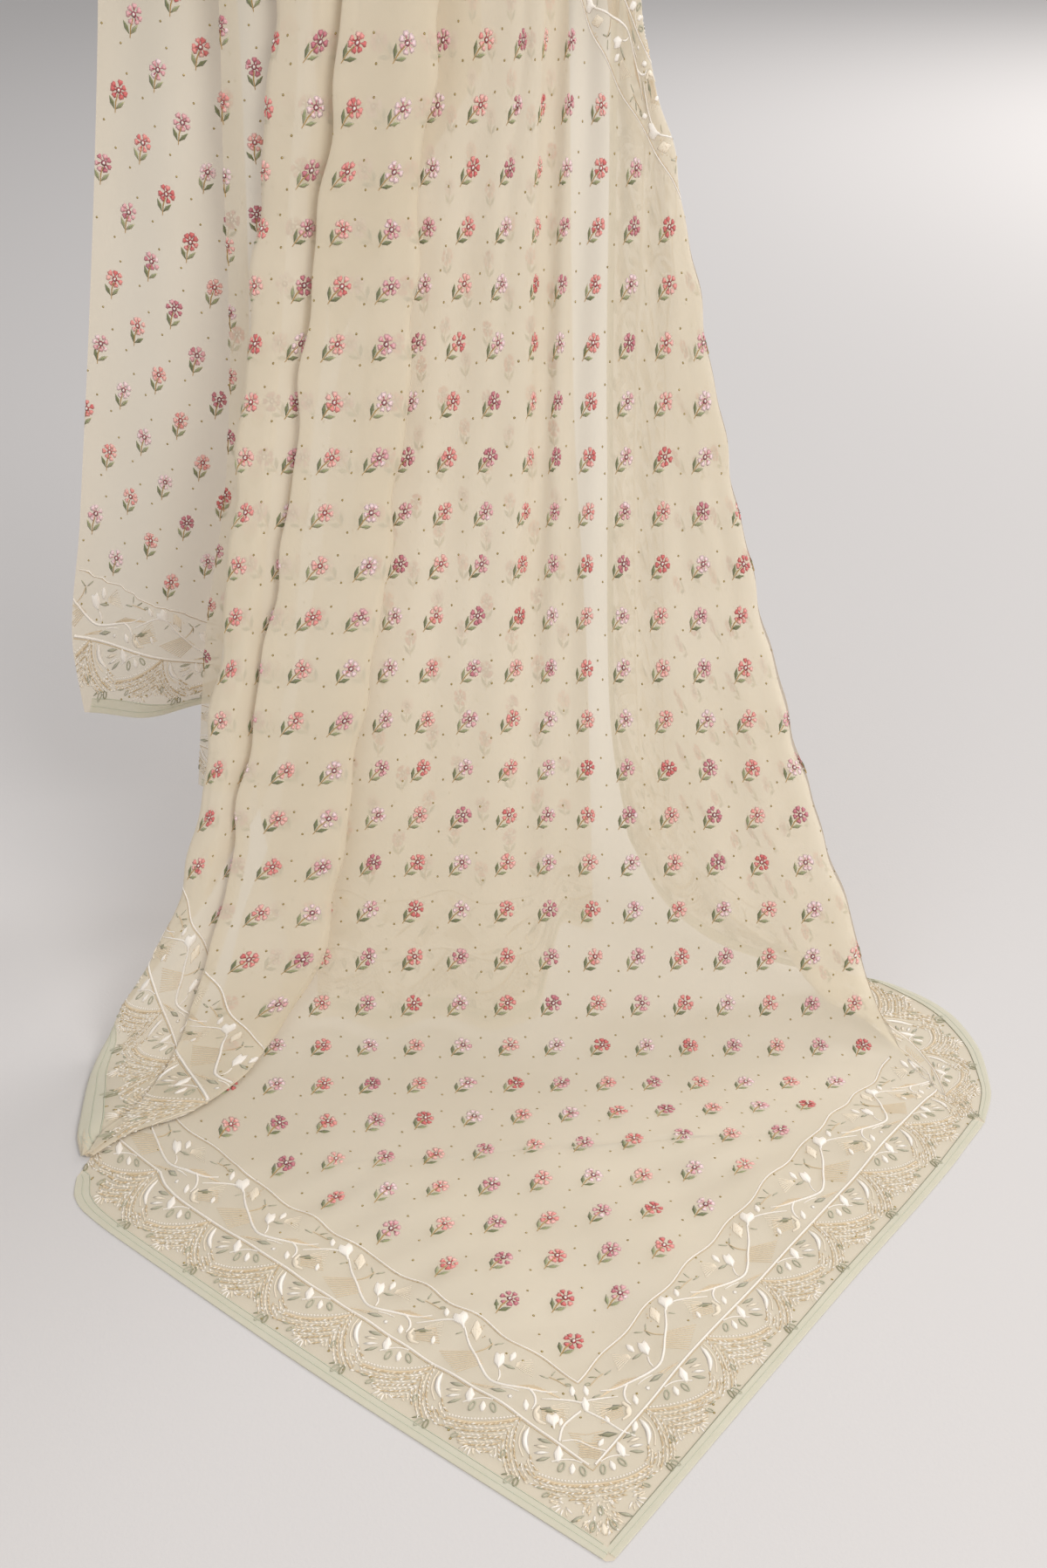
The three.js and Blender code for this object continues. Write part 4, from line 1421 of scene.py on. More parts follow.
@dataclass
class Sewing:
    """Collects the embroidery of one sheet and sews it on as one mesh."""

    sheet: ClothSheet
    spots: list[Points] = field(default_factory=list)
    heights: list[Points] = field(default_factory=list)
    stitch: list[Points] = field(default_factory=list)
    faces: list[tuple[int, ...]] = field(default_factory=list)
    threads: list[int] = field(default_factory=list)
    used: list[Finish] = field(default_factory=list)
    count: int = 0

    def slot(self, finish: Finish) -> int:
        """Finds the material slot of a finish.

        Args:
            finish: the finish.
        Returns:
            its number.
        """
        if finish not in self.used:
            self.used.append(finish)
        return self.used.index(finish)

    def add(self, spots: Points, heights: Points, stitch: Points, faces: Iterable, finish: Finish) -> None:
        """Adds points on the flat cloth and the faces between them.

        Args:
            spots: the points.
            heights: their heights off the cloth.
            stitch: their places on the stitch map.
            faces: the points of each face.
            finish: the faces' finish.
        """
        start = self.count
        slot = self.slot(finish)
        for face in faces:
            self.faces.append(tuple(start + n for n in face))
            self.threads.append(slot)
        self.spots.append(spots)
        self.heights.append(heights)
        self.stitch.append(stitch)
        self.count += len(spots)

    def sew(
        self, shape: Stitched, at: Place, angle: float, finish: Finish, scale: float = 1.0, lift: float = 0.0
    ) -> None:
        """Sews a copy of a shape on the flat cloth.

        Args:
            shape: the shape.
            at: its place.
            angle: its turn.
            finish: its thread.
            scale: its size.
            lift: how far it is raised.
        """
        x, y = shape.points[:, 0] * scale, shape.points[:, 1] * scale
        cos, sin = math.cos(angle), math.sin(angle)
        spots = np.stack([at[0] + x * cos - y * sin, at[1] + x * sin + y * cos], axis=1)
        heights = shape.points[:, 2] + np.sign(shape.points[:, 2]) * lift
        self.add(spots, heights, np.stack([x, y], axis=1), shape.faces, finish)

    def cord(self, path: Points, width: Points, crown: float, finish: Finish, lift: float = 0.0) -> None:
        """Lays a cord of stitches, a low diamond in section.

        Args:
            path: its places.
            width: its width, also as one for each place.
            crown: its height.
            finish: its thread.
            lift: how far it is raised.
        """
        path = np.asarray(path, float)
        n = len(path)
        width = np.broadcast_to(np.asarray(width, float), (n,))
        way = np.gradient(path, axis=0)
        way /= np.maximum(np.linalg.norm(way, axis=1, keepdims=True), 1e-9)
        side = np.stack([-way[:, 1], way[:, 0]], axis=1) * width[:, None] / 2
        spots = np.stack([path + side, path, path - side, path], axis=1).reshape(-1, 2)
        heights = np.tile([lift, crown + lift, lift, -crown * 0.5 - lift], n)
        along = np.concatenate([[0], np.cumsum(np.linalg.norm(np.diff(path, axis=0), axis=1))])
        stitch = np.stack([np.repeat(along, 4), np.tile([0.5, 0, -0.5, 0], n) * np.repeat(width, 4)], axis=1)
        k = np.arange(n - 1)[:, None, None] * 4
        ring = np.array([[0, 1], [1, 2], [2, 3], [3, 0]])[None]
        quads = np.concatenate([ring + k, ring[..., ::-1] + k + 4], axis=2).reshape(-1, 4)
        self.add(spots, heights, stitch, quads[:, ::-1].tolist(), finish)

    def build(self, name: str, materials: dict[Finish, bpy.types.Material]) -> bpy.types.Object:
        """Makes the sheet's embroidery as one mesh.

        Args:
            name: the piece's name.
            materials: a material for each finish.
        Returns:
            the piece.
        """
        points = self.sheet.place(np.concatenate(self.spots), np.concatenate(self.heights))
        piece = make_mesh(name, points, self.faces, {"stitch": np.concatenate(self.stitch)})
        for finish in self.used:
            piece.data.materials.append(materials[finish])
        piece.data.polygons.foreach_set("material_index", self.threads)
        return piece


@dataclass
class Sprigs:
    """Small flower sprigs on the bias lattice: a ragged ring of petals, two leaves and a gold stem."""

    needle: Needlework
    petals: int = 7
    margin: float = 116.0  # no sprig lies nearer to a hem
    seed: int = 11
    corals: tuple[Thread, ...] = (Thread.CORAL_PALE, Thread.CORAL, Thread.CORAL_DEEP, Thread.CORAL_HEART)
    mauves: tuple[Thread, ...] = (Thread.MAUVE_PALE, Thread.MAUVE, Thread.MAUVE_DEEP, Thread.MAUVE_HEART)
    shapes: dict[str, Stitched] = field(init=False)

    def __post_init__(self) -> None:
        """Models the shapes of a sprig."""
        self.shapes = {
            "petal": self.needle.satin(5.7, 4.9, 0.7, sides=8, tip=1.05, tail=0.5, notch=0.9),
            "streak": self.needle.satin(5.0, 2.4, 0.9, sides=6, tip=0.7, tail=0.6),
            "heart": self.needle.satin(5.2, 5.2, 0.4, sides=8),
            "centre": self.needle.satin(3.4, 2.9, 1.1, sides=6),
            "speck": self.needle.satin(1.2, 1.2, 1.3, sides=4),
            "leaf": self.needle.satin(9.6, 2.6, 0.7, sides=8, tip=0.5, tail=0.45),
            "leaf_edge": self.needle.satin(11.4, 4.0, 0.3, sides=8, tip=0.5, tail=0.45),
            "sequin": self.needle.satin(2.1, 2.1, 0.5, sides=8),
        }

    def sprig(self, sewing: Sewing, at: Place, coral: bool, chance: np.random.Generator) -> None:
        """Sews one sprig, its head towards the cloth's upper edge.

        Args:
            sewing: the sheet's sewing.
            at: its place.
            coral: True for a coral one, False for mauve.
            chance: the random draws.
        """
        outer = self.corals if coral else self.mauves
        inner, heart = outer[1:], outer[-1]
        lean = chance.normal(0, 0.07)
        head = (at[0] + 4.5, at[1])
        shade = chance.choice(3, p=[0.45, 0.4, 0.15])
        sewing.cord(
            np.array([[head[0] - 3, head[1]], [at[0] - 5, at[1] + 0.6], [at[0] - 13.5, at[1] - 0.8]]),
            [0.9, 1.2, 0.7], 0.5, Thread.GOLD, 0.1,
        )
        sewing.sew(self.shapes["heart"], head, lean, heart)
        for n in range(self.petals):
            angle = lean + (n + chance.uniform(-0.2, 0.2)) * 2 * math.pi / self.petals
            reach = 5.5 + chance.uniform(-0.6, 0.7)
            way = np.array([math.cos(angle), math.sin(angle)])
            tone = outer[int(np.clip(shade + chance.integers(-1, 2) * (chance.random() < 0.35), 0, 2))]
            size = chance.uniform(0.9, 1.12)
            sewing.sew(self.shapes["petal"], tuple(head + reach * way), angle, tone, size, 0.1)
            if chance.random() < 0.8:
                tone = inner[min(shade + (chance.random() < 0.4), 2)]
                sewing.sew(self.shapes["streak"], tuple(head + (reach - 1.5) * way), angle, tone, 0.95, 0.25)
        sewing.sew(self.shapes["centre"], head, 0, Thread.WHITE, 1.0, 0.4)
        for turn in chance.uniform(0, 2 * math.pi, 2):
            spot = (head[0] + 1.1 * math.cos(turn), head[1] + 1.1 * math.sin(turn))
            sewing.sew(self.shapes["speck"], spot, 0, Thread.LEAF_DEEP, 1.0, 0.5)
        for side in (-1, 1):
            angle = side * 0.62 + lean
            root = (at[0] - 11.5, at[1])
            spot = (root[0] + 6.2 * math.cos(angle), root[1] + 6.2 * math.sin(angle))
            dark = (side > 0) == (chance.random() < 0.75)
            upper, under = (Thread.LEAF_DEEP, Thread.LEAF) if dark else (Thread.LEAF, Thread.LEAF_EDGE)
            sewing.sew(self.shapes["leaf_edge"], spot, angle, under)
            sewing.sew(self.shapes["leaf"], spot, angle, upper, 0.95, 0.15)

    def scatter(self, sewing: Sewing, long_end: bool) -> int:
        """Sews the sheet's sprigs and the sequins between them.

        Args:
            sewing: the sheet's sewing.
            long_end: True where the sheet has the pallu end.
        Returns:
            how many sprigs were sewn.
        """
        chance = np.random.default_rng(self.seed)
        flat = sewing.sheet.cloth.reshape(-1, 2) / STEP
        low_p, high_p = ((flat[:, 0] - flat[:, 1]) / 2).min(), ((flat[:, 0] - flat[:, 1]) / 2).max()
        low_q, high_q = (flat.sum(1) / 2).min(), (flat.sum(1) / 2).max()
        sewn = 0
        for p in range(math.floor(low_p), math.ceil(high_p) + 1):
            for q in range(math.floor(low_q), math.ceil(high_q) + 1):
                for dp, dq, kind in ((0, 0.2, "sprig"), (0.42, 0.46, "sequin"), (0.55, 0.95, "sequin")):
                    u, v = (p + dp + q + dq) * STEP, (q + dq - p - dp) * STEP
                    jitter = chance.normal(0, 1.6, 2)
                    edge = self.margin if kind == "sprig" else BORDER
                    inside = edge < u < CLOTH_WIDTH - edge and (v > edge or not long_end)
                    if not inside or not sewing.sheet.covers((u, v)):
                        continue
                    if kind == "sprig":
                        self.sprig(sewing, (u, v), p % 2 == 0, chance)
                        sewn += 1
                    else:
                        spot = (u + jitter[0], v + jitter[1])
                        sewing.sew(self.shapes["sequin"], spot, 0, Sequin())
        return sewn


# ---- the embroidered border ----
@dataclass(frozen=True)
class Hem:
    """A run of hem: its distance and length in the flat cloth's own coordinates."""

    spot: Callable[[Points, Points], Points]
    first: float
    last: float
    mirrored: bool = False
    mitred: bool = False  # True where it meets another hem at its first end

    def place(self, along: Points, deep: Points) -> Points:
        """Turns lengths along the hem and depths from it to places on the flat cloth."""
        return self.spot(np.asarray(along, float), np.asarray(deep, float))


def lower_edge(along: Points, deep: Points) -> Points:
    """Places on the border of the lower long edge."""
    return np.stack([deep, along], axis=-1)


def upper_edge(along: Points, deep: Points) -> Points:
    """Places on the border of the upper long edge."""
    return np.stack([CLOTH_WIDTH - deep, along], axis=-1)


def pallu_edge(along: Points, deep: Points) -> Points:
    """Places on the border of the pallu end."""
    return np.stack([along, deep], axis=-1)


@dataclass
class BorderWork:
    """The border: a pale hem, fans of two lobes that stand on a cord, and a winding vine.

    A fan's pieces are placed from its middle (aside, away from the corner) and from the cord (out,
    towards the hem). A vine's are placed ahead of the heart that starts its repeat, towards the
    corner, and from the hem. Ways are degrees from the way to the hem.
    """

    needle: Needlework
    seed: int = 5
    first_fan: float = FAN_LINE + 22.5
    first_heart: float = 87.0
    hem_width: float = 8.5
    fill_depth: float = 37.0  # how far the stitched ground reaches from the cord
    fill_wave: float = 2.6
    row_gap: float = 2.5
    lobe_split: float = 5.0  # aside of the line where a fan's two lobes meet
    # circles that the ground's rows follow: centre aside and out, first radius, first and last angle
    lobes: tuple[tuple[float, ...], ...] = ((17.2, -36.7, 68.6, -62, 8), (-8.5, -9.8, 38.5, -25, 100))
    crescent: Places = ((30, 3), (28.6, 8.5), (24.6, 14.4), (17, 19.4))
    outer_rim: Places = ((33.5, 3), (31.5, 11), (27, 17.8), (19.5, 23))
    inner_rim: Places = ((2, 14), (-3.5, 7.5), (-9, 3.5), (-15, 1.5))
    beaded_rim: Places = ((3, 26.5), (-8, 23.2), (-18, 17.5), (-28, 9.5), (-36, 1))
    ribbon: Places = ((3.4, 29), (-9, 25.6), (-20, 19.4), (-29.8, 11.2), (-38, 2))
    fan_pieces: Pieces = (  # shape, aside, out, way, finish, scale
        ("bud", 1.9, 6.4, -33, Thread.IVORY, 1.2), ("bar", 14.8, 4.6, 72, Thread.SAGE, 1.0),
        ("bar", 14.0, 9.2, 61, Thread.CREAM, 1.0), ("bar", 11.4, 13.0, 50, Thread.IVORY, 0.95),
        ("bar", 7.6, 16.0, 37, Thread.SAGE, 0.95), ("ring", -5.8, 13.2, -12, Thread.SAGE, 1.0),
        ("bud", -12.4, 9.6, -33, Thread.IVORY, 0.8), ("ring", -19.0, 6.4, -54, Thread.SAGE, 1.0),
        ("ring", 11.6, 40.2, -20, Thread.OLIVE, 0.9), ("ring", 16.6, 41.4, 12, Thread.SAGE, 0.95),
        ("bar", 20.8, 39.4, 48, Thread.OLIVE, 0.55), ("ring", -10.5, 36.2, 25, Thread.SAGE, 0.7),
        ("ring", 32.0, 29.0, -15, Thread.SAGE, 0.75), ("bar", -3.6, 34.6, 80, Thread.SAGE, 0.6),
    )
    tuft: Place = (-24.5, 35.8)  # where the pointed stitches of the tuft meet
    vine_pieces: Pieces = (  # shape, ahead, deep, way, finish, scale
        ("heart", 2, 92.5, 234, Thread.IVORY, 1.0), ("bud", -12, 92, 40, Thread.IVORY, 0.8),
        ("speckled", 17, 92, 217, Thread.CREAM, 1.0), ("leaf", 31, 91, 235, Thread.SAGE, 1.0),
        ("leaf", 38, 92.5, 140, Thread.SAGE, 1.1), ("leaf", 35, 86, 190, Thread.OLIVE, 0.8),
        ("tulip", 47.4, 81, 213, Thread.IVORY, 1.0), ("bud", 53.5, 89, 195, Thread.IVORY, 0.85),
        ("bar", 56.6, 80.6, 105, Thread.SAGE, 0.9), ("leaf", 82, 89, 100, Thread.SAGE, 1.1),
        ("leaf", 85, 96, 190, Thread.SAGE, 1.0), ("leaf", 92.5, 95, 140, Thread.OLIVE, 1.0),
        ("ring", 100, 94, 120, Thread.SAGE, 0.55), ("bud", 87.3, 61, 40, Thread.IVORY, 0.8),
        ("long_leaf", 102, 69, 123, Thread.OLIVE, 1.0), ("bud", 113.6, 67, 30, Thread.IVORY, 0.65),
        ("bead", 74.4, 59.3, 0, Thread.IVORY, 2.4), ("long_leaf", 64, 59, 110, Thread.SAGE, 0.85),
        ("bud", 98, 60, 60, Thread.CREAM, 0.7), ("leaf", 8, 83, 150, Thread.SAGE, 0.9),
    )
    vine_stems: tuple[tuple[float, Thread, Places], ...] = (  # width, finish, and the places (ahead, deep)
        (
            2.2, Thread.IVORY,
            (
                (8, 89), (20, 80), (31, 74), (42, 67.5), (53, 63.5), (64, 65.5), (76, 70.5), (90, 77),
                (98, 84),
            ),
        ),
        (1.5, Thread.IVORY, ((53, 74), (56.5, 70), (58, 65.5))),
        (2.0, Thread.IVORY, ((80, 73), (87, 71), (91.5, 66.5), (92.5, 61))),
        (1.6, Thread.IVORY, ((0, 90), (-6, 87), (-15, 80), (-24, 72))),
        (1.0, Thread.SAND, ((34, 90), (33, 83), (29, 76))),
        (0.9, Thread.SAND, ((100, 92), (92, 92), (85, 91))),
        (1.0, Thread.IVORY, ((64, 62.5), (70, 65), (77, 66.5))),
        (3.4, Thread.CREAM, ((95, 67), (95.5, 61), (100, 57.5), (107, 58.5))),
    )
    # patches of laid threads: first thread's ends, last thread's ends (ahead, deep), how many
    vine_patches: tuple[tuple, ...] = (
        ((6, 63), (27, 77), (29, 54.5), (40, 71), 11), ((59, 87), (66, 97), (60, 84), (76, 84), 8),
        ((72, 70), (82, 78), (92, 78), (104, 82), 9), ((101, 72), (109, 84), (103, 69), (116, 73), 6),
        ((-20, 66), (-8, 76), (-14, 60), (2, 68), 7), ((60, 60), (50, 56), (58, 57), (44, 54), 3),
    )
    corner_pieces: Pieces = (  # shape, down from the cords' corner, aside, way, finish, scale
        ("ring", 33.5, 0, 0, Thread.SAGE, 0.9), ("bar", 38, 16, -68, Thread.SAGE, 1.0),
        ("bar", 38, -16, 68, Thread.SAGE, 1.0), ("ring", 45, 7, -20, Thread.SAGE, 1.0),
        ("ring", 45, -7, 20, Thread.SAGE, 1.0), ("bud", 47.5, 0, 0, Thread.CREAM, 0.85),
        ("tip", 42, 11.5, -45, Thread.CREAM, 1.2), ("tip", 42, -11.5, 45, Thread.CREAM, 1.2),
        ("bud", -51, 3, 0, Thread.IVORY, 1.1), ("leaf", -57, 12, -110, Thread.SAGE, 1.1),
        ("leaf", -56, -3, 170, Thread.OLIVE, 1.0), ("heart", -39, -22, 180, Thread.IVORY, 0.85),
        ("long_leaf", -25, 15, 90, Thread.OLIVE, 1.0), ("bud", -19, 9, 40, Thread.IVORY, 0.7),
        ("bead", -43, -33, 0, Thread.IVORY, 2.6), ("bud", -30, 35, 20, Thread.IVORY, 0.85),
    )
    corner_stems: tuple[tuple[float, Places], ...] = (  # width, and the places (down, aside)
        (2.0, ((-46, -1), (-40, -9), (-33, -16), (-22, -20))),
        (1.8, ((-46, 3), (-38, 14), (-28, 24), (-22, 34))),
        (1.2, ((-12, 12), (-16, 2), (-22, -8), (-22, -18))),
    )
    fan_reach: tuple[float, float] = (30.0, 45.0)  # depth of a fan's middle, and its size from there
    vine_reach: tuple[float, float] = (77.0, 90.0)  # the same of a vine
    shapes: dict[str, Stitched] = field(init=False)
    sewing: Sewing = field(init=False)  # what run() is at work on
    hem: Hem = field(init=False)
    chance: np.random.Generator = field(init=False)

    def __post_init__(self) -> None:
        """Models the border's shapes."""
        self.shapes = {
            "heart": self.needle.satin(17.0, 11.5, 1.1, sides=12, tip=1.15, tail=0.3, notch=3.4),
            "tulip": self.needle.satin(16.5, 8.2, 1.1, sides=10, tip=1.15, tail=0.3, notch=3.6),
            "bud": self.needle.satin(11.5, 6.0, 1.0, sides=8, tip=0.8, tail=0.6),
            "speckled": self.needle.satin(19.0, 9.0, 0.5, sides=8, tip=0.6, tail=0.4),
            "leaf": self.needle.satin(7.4, 3.0, 0.6, sides=6, tip=0.5, tail=0.5),
            "long_leaf": self.needle.satin(15.0, 4.8, 0.6, sides=8, tip=0.5, tail=0.5),
            "bar": self.needle.satin(11.5, 3.3, 0.8, sides=8, tip=0.8, tail=0.5),
            "ring": self.needle.ring(9.2, 5.0, 1.5, 0.7),
            "tip": self.needle.satin(8.0, 2.6, 0.8, sides=6, tip=0.5, tail=0.6),
            "bead": self.needle.satin(1.6, 1.6, 0.6, sides=5),
            "stitch": self.needle.satin(4.6, 1.4, 0.7, sides=4),
            "sequin": self.needle.satin(2.0, 2.0, 0.5, sides=8),
        }

    def sew(
        self, shape: str, along: float, deep: float, way: float, finish: Finish, scale: float = 1.0,
        lift: float = 0.0,
    ) -> None:
        """Sews a shape on the border.

        Args:
            shape: its name.
            along: its length along the hem.
            deep: its distance from it.
            way: its turn from the way to the hem.
            finish: its thread.
            scale: its size.
            lift: how far it is raised.
        """
        if self.hem.mitred and along < deep:
            return
        at, out = self.hem.place(along, deep), self.hem.place(along + math.sin(way), deep - math.cos(way))
        if not self.sewing.sheet.covers(tuple(at), 1.0):
            return
        turn = math.atan2(out[1] - at[1], out[0] - at[0])
        self.sewing.sew(self.shapes[shape], tuple(at), turn, finish, scale, lift)

    def line(
        self, along: Points, deep: Points, width: Points, crown: float, finish: Finish, lift: float = 0.0,
        inside: Points | bool = True,
    ) -> None:
        """Lays a cord along places of the border, in the stretches that the sheet has.

        Args:
            along: each place's length along the hem.
            deep: each place's distance from the hem.
            width: the cord's width.
            crown: its height.
            finish: its thread.
            lift: how far it stands off the cloth.
            inside: where it may run.
        """
        spots = self.hem.place(*np.broadcast_arrays(along, deep))
        kept = np.array([self.sewing.sheet.covers(tuple(spot), 1.0) for spot in spots]) & inside
        if self.hem.mitred:
            kept &= np.asarray(along) >= np.asarray(deep) - 0.5
        width = np.broadcast_to(np.asarray(width, float), kept.shape)
        starts = np.flatnonzero(kept & ~np.concatenate([[False], kept[:-1]]))
        ends = np.flatnonzero(kept & ~np.concatenate([kept[1:], [False]])) + 1
        for start, end in zip(starts, ends, strict=True):
            if end - start > 1:
                self.sewing.cord(spots[start:end], width[start:end], crown, finish, lift)

    def curve(self, places: Places, parts: int = 3) -> tuple[Points, Points]:
        """Draws a soft curve through places.

        Args:
            places: the places.
            parts: its steps from one to the next.
        Returns:
            its two coordinates.
        """
        first, second = np.array(places, float).T
        fine = np.linspace(0, len(places) - 1, (len(places) - 1) * parts + 1)
        keys = np.arange(len(places))
        return natural(keys, first, fine), natural(keys, second, fine)

    def ground(self, centre: float) -> None:
        """Fills round a fan's lobes with laid threads and short slanting stitches.

        Args:
            centre: the fan's length along the hem.
        """
        tones = (*[Thread.IVORY] * 3, *[Thread.CREAM] * 2, Thread.BEIGE, Thread.SAND)
        for lobe, (aside, out, first, low, high) in enumerate(self.lobes):
            for row, radius in enumerate(np.arange(first, first + 30, self.row_gap)):
                angles = np.radians(np.arange(low, high, math.degrees(3.6 / radius)))
                x, y = aside + radius * np.sin(angles), out + radius * np.cos(angles)
                edge = self.fill_depth + self.fill_wave * np.cos(4 * np.pi * (x - 15.5) / FAN_PITCH)
                inside = (np.abs(x) < FAN_PITCH / 2 + 0.5) & (y > 0.8) & (y < edge)
                inside &= (x >= self.lobe_split) if lobe else (x < self.lobe_split)
                if lobe:
                    inside &= (radius > 46) | (x < 17)
                if self.hem.mitred:
                    from_corner = centre + x - FAN_LINE
                    inside &= (from_corner > 0) | (np.hypot(from_corner, y) < 30)
                tone = Thread.CREAM if row % 2 else Thread.SAND
                self.line(centre + x, FAN_LINE - y, 1.4, 0.3, tone, 0.0, inside)
                slant = 24 if row % 2 else -24
                for n in np.flatnonzero(inside):
                    way = angles[n] + math.radians(90 + slant + self.chance.uniform(-14, 14))
                    along = centre + x[n] + self.chance.uniform(-0.5, 0.5)
                    deep = FAN_LINE - y[n] + self.chance.uniform(-0.5, 0.5)
                    tone, size = tones[self.chance.integers(len(tones))], self.chance.uniform(0.8, 1.15)
                    self.sew("stitch", along, deep, way, tone, size, 0.4)

    def fan(self, centre: float) -> None:
        """Sews one fan that stands on the cord, its two lobes open and its rim stitched full.

        Args:
            centre: its length along the hem.
        """

        def put(shape: str, spot: Place, way: float, finish: Finish, scale: float, lift: float) -> None:
            """Sews a shape at (aside, out) of the fan."""
            at = (centre + spot[0], FAN_LINE - spot[1])
            self.sew(shape, *at, math.radians(way), finish, scale, lift)

        def rim(places: Places, width: Points, crown: float, finish: Finish, lift: float = 0.1) -> None:
            """Lays a cord along a rim of the fan."""
            aside, out = self.curve(places, 4)
            self.line(centre + aside, FAN_LINE - out, width, crown, finish, lift)

        self.ground(centre)
        swell = np.interp(np.linspace(-1, 1, 13), [-1, -0.4, 0.4, 1], [0.8, 4.4, 4.4, 0.8])
        rim(self.crescent, swell, 1.0, Thread.IVORY, 0.2)
        rim(self.outer_rim, 1.3, 0.5, Thread.CREAM)
        rim(self.inner_rim, 1.2, 0.5, Thread.IVORY)
        rim(self.ribbon, 2.0, 0.5, Thread.BEIGE)
        aside, out = self.curve(self.beaded_rim, 5)
        for spot in zip(aside, out, strict=True):
            put("bead", spot, 0, Thread.IVORY, 1.15, 0.1)
        for shape, x, y, way, finish, scale in self.fan_pieces:
            put(shape, (x, y), way, finish, scale, 0.25)
        for way in (-78, -48, -20, 8, 36, 64):
            reach, angle = 4.6 + self.chance.uniform(-0.6, 0.8), math.radians(way)
            spot = (self.tuft[0] + reach * math.sin(angle) * 1.3, self.tuft[1] + reach * math.cos(angle))
            tone = Thread.IVORY if way % 16 else Thread.CREAM
            put("tip", spot, way, tone, self.chance.uniform(0.85, 1.1), 0.2)
        for _ in range(3):
            put("sequin", (self.chance.uniform(-36, 36), self.chance.uniform(28, 43)), 0, Sequin(), 1.0, 0.4)

    def vine(self, start: float) -> None:
        """Sews one repeat of the vine between the fans' cord and the inner cord.

        Args:
            start: the heart's length along the hem.
        """
        for *ends, count in self.vine_patches:
            first_low, first_high, last_low, last_high = np.array(ends, float)
            tone = Thread.BEIGE if count % 2 else Thread.CREAM
            for t in np.linspace(0, 1, count):
                low, high = mix(first_low, last_low, t), mix(first_high, last_high, t)
                middle = (low + high) / 2 + np.array([1.5, 1.2]) * math.sin(t * math.pi)
                ahead, deep = self.curve([low, middle, high], 2)
                self.line(start - ahead, deep, 0.85, 0.35, tone)
        for width, finish, places in self.vine_stems:
            ahead, deep = self.curve(places)
            taper = width * np.interp(np.linspace(0, 1, len(ahead)), [0, 0.15, 0.7, 1], [0.7, 1, 1, 0.45])
            self.line(start - ahead, deep, taper, 0.7, finish, 0.1)
        for shape, ahead, deep, way, finish, scale in self.vine_pieces:
            self.sew(shape, start - ahead, deep, -math.radians(way), finish, scale, 0.2)
        for _ in range(12):
            spot = (start - 17 + self.chance.normal(0, 3.2), 92 + self.chance.normal(0, 3.2))
            self.sew("bead", *spot, 0, Thread.SAND, 0.7, 0.6)
        for _ in range(5):
            spot = (start - self.chance.uniform(0, VINE_PITCH), self.chance.uniform(56, 99))
            self.sew("sequin", *spot, 0, Sequin())

    def corner(self) -> None:
        """Sews the spray that fills the mitred corner, below the cords' corner and above it."""
        self.hem = Hem(self.hem.spot, self.hem.first, self.hem.last)  # whole, as the spray crosses the mitre

        def spot(down: float, aside: float) -> Place:
            """Turns a place of the spray to (along, deep)."""
            return FAN_LINE - (down + aside) * math.sqrt(0.5), FAN_LINE - (down - aside) * math.sqrt(0.5)

        for n in range(64):
            down = 27 + 24 * (n + 0.5) / 64
            aside = self.chance.uniform(-1, 1) * (19 - abs(down - 36) * 0.8)
            way = math.radians(-45 - 75 * aside / 19 + self.chance.uniform(-25, 25))
            finish = (Thread.IVORY, Thread.CREAM, Thread.BEIGE)[n % 3]
            self.sew("stitch", *spot(down, aside), way, finish, 1.1, 0.2)
        for shape, down, aside, way, finish, scale in self.corner_pieces:
            self.sew(shape, *spot(down, aside), math.radians(way - 45), finish, scale, 0.3)
        for width, places in self.corner_stems:
            along, deep = np.array([spot(*place) for place in zip(*self.curve(places), strict=True)]).T
            self.line(along, deep, width, 0.7, Thread.IVORY, 0.1)
        for n in range(9):
            ends = [spot(-5 - n * 1.6, 9 - n * 0.3), spot(-8 - n * 1.4, 0), spot(-9 - n * 1.5, -8 + n * 0.3)]
            along, deep = self.curve(ends, 2)
            self.line(along, deep, 1.0, 0.35, Thread.BEIGE)

    def facing(self) -> None:
        """Wraps the pressed facing round the hem and lays its line of stitching."""
        along = np.arange(self.hem.first, self.hem.last, 6.0)
        edge = self.hem.place(along, np.zeros_like(along))
        kept = np.array([self.sewing.sheet.covers(tuple(spot), 1.0) for spot in edge])
        along = along[kept]
        if len(along) < 2:
            return
        wide = self.hem_width
        over = [(wide * share, 0.35) for share in (1.0, 0.8, 0.6, 0.4, 0.25, 0.12)] + [(0.2, 0.3)]
        section = over + [(0.0, 0.0)] + [(deep, -height) for deep, height in reversed(over)]
        spots, heights, stitch = [], [], []
        for deep, height in section:
            inset = np.maximum(along, deep) if self.hem.mitred else along
            spots.append(self.hem.place(inset, np.full_like(along, deep)))
            heights.append(np.full_like(along, height))
            stitch.append(np.stack([along, np.full_like(along, deep)], axis=1))
        m = len(along)
        joined = np.flatnonzero(np.diff(along) < 6.5)
        starts = [k * m + j for k in range(len(section) - 1) for j in joined]
        quads = [(k, k + 1, k + m + 1, k + m) for k in starts]
        self.sewing.add(*(np.concatenate(part) for part in (spots, heights, stitch)), quads, HemFacing())
        thread = Thread.HEM_STITCH if self.hem.mirrored else Thread.HEM_STITCH_PALE
        self.line(along, wide + 0.4, 0.6, 0.3, thread, 0.3)
        self.line(along, wide * 0.55, 0.45, 0.15, Thread.HEM_STITCH_PALE, 0.4)

